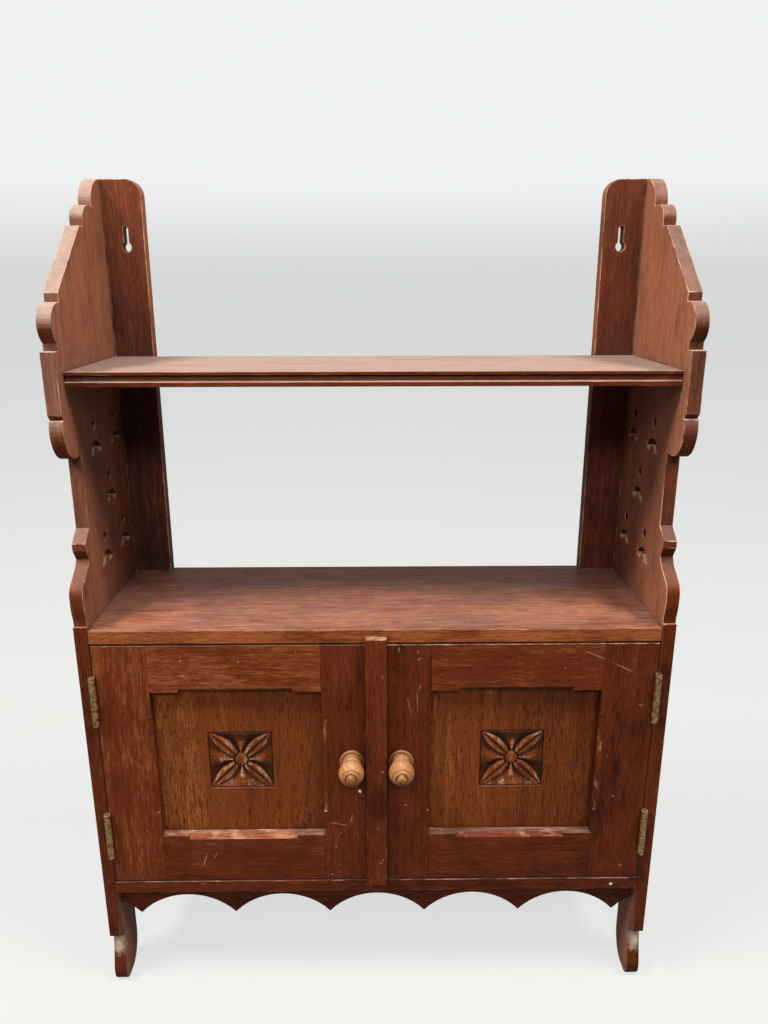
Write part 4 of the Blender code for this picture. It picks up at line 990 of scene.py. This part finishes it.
finishes["beech"] = timber(
    "turned_beech",
    tints={"dark": "#5E361A", "middle": "#A87347", "light": "#D6AC80", "pore": "#74482A",
           "raw": "#D9B78C", "thin": "#CB9E72"},
    noise={"streak": (30, 3, 4), "fibre": (8, 0.9, 3), "blotch": (30, 14, 2), "pore": (3, 0.7, 1)},
    share={"streak": 0.8, "fibre": 1.2, "blotch": 0.6, "rings": 0.3},
    ring=3.2, sway=3, pore_share=0.6, flecks=0.3,
)
for side in ("left", "right"):
    knob(side)

# %% [markdown]
# Four brass butt hinges carry the doors. Rolled brass goes brown where hands and rags don't reach and
# stays bright where it is rubbed, on the edges, and the faces that look up, the knuckles' upper ends
# most of all, are painted bright as a highlight where the light from above falls. The solids already
# have the leaves and knuckles, so they keep their shape and get rounded edges and that finish, and
# their pins and screws are brass too. Knob screws are mild steel, and the nails of the cover strip are
# steel that has been stained over with the wood.

# %% Brass and steel
def metal(name, bright, dull, rough, patch, metallic):
    """A worn metal: dull over most of it, bright where it is rubbed; patch is a size in mm."""
    material, tree, shader = new_material(name)
    place = add(tree, "TexCoord", give="Object")
    cloud = {"Vector": place, "Scale": 1000 / patch, "Detail": 4, "Roughness": 0.6}
    cloud = add(tree, "TexNoise", cloud)
    bare = add(tree, "Attribute", give="Fac", attribute_name="bare")
    rub = add(tree, "Math", {0: bare, 1: 0.5, 2: cloud}, operation="MULTIPLY_ADD")
    shine = add(tree, "MapRange", {0: rub, 1: 0.30, 2: 0.75}, **EASED)
    colour = add(tree, "Mix", {0: shine, 6: linear(dull), 7: linear(bright)}, 2, **TINTS)
    gloss = add(tree, "MapRange", {0: shine, 3: rough + 0.15, 4: rough})
    bump = add(tree, "Bump", {"Strength": 0.15, "Distance": 0.1 * MM, "Height": cloud})
    tree.links.new(colour, shader.inputs["Base Color"])
    tree.links.new(gloss, shader.inputs["Roughness"])
    tree.links.new(bump, shader.inputs["Normal"])
    shader.inputs["Metallic"].default_value = metallic
    shader.inputs["Specular IOR Level"].default_value = 0.2 + 0.3 * metallic
    return material


HIGHLIGHT_RISE = 0.5


def hinge_leaf(node):
    """A hinge leaf with rounded edges rubbed bright, and a painted highlight on the faces that look
    up.
    """
    plate = rounded(node, arris=0.3, wear=0.8, least=0.5)
    bare = plate.faces.layers.float["bare"]
    # Painted highlight: faces that look up are made bright brass.
    for face in plate.faces:
        if face.normal.z > HIGHLIGHT_RISE:
            face[bare] = 1.0
    show(f"{node}_plate", plate, "brass", node)


finishes["brass"] = metal("aged_brass", "#F6D296", "#6E4A24", rough=0.30, patch=3, metallic=0.9)
finishes["steel"] = metal("dull_steel", "#8F8476", "#54493F", rough=0.45, patch=3, metallic=1.0)
finishes["nail"] = metal("stained_nail", "#A8825C", "#4A2A18", rough=0.6, patch=1.5, metallic=0.0)
for node in sorted(frame["nodes"]):
    if node.endswith("_leaf"):
        hinge_leaf(node)
    elif "_screw" in node or "_nail" in node or node.endswith("_pin"):
        kind = "nail" if "_nail" in node else "steel" if "knob_screw" in node else "brass"
        frame["nodes"][node].data.materials.clear()
        frame["nodes"][node].data.materials.append(finishes[kind])
print("hinges, pins, screws and nails finished")

# %% [markdown]
# The back of the cupboard is a thin sheet of birch plywood. Only its inner face shows, through the
# open doors, and the whole of it from behind.

# %% Plywood back
finishes["plywood"] = timber(
    "birch_plywood",
    tints={"dark": "#8A6238", "middle": "#B08A58", "light": "#D2B080", "pore": "#7A5530",
           "raw": "#C9AE84", "thin": "#C8A673"},
    noise={"streak": (220, 16, 4), "fibre": (60, 2, 3), "blotch": (130, 55, 3), "pore": (6, 0.6, 1)},
    share={"streak": 1.0, "fibre": 0.8, "blotch": 0.8, "rings": 0.6},
    ring=22, sway=30, pore_share=0.25, flecks=0.2,
)
board("back_panel", "z", "plywood", 0.5, arris=0.3, pith=(70, 55))
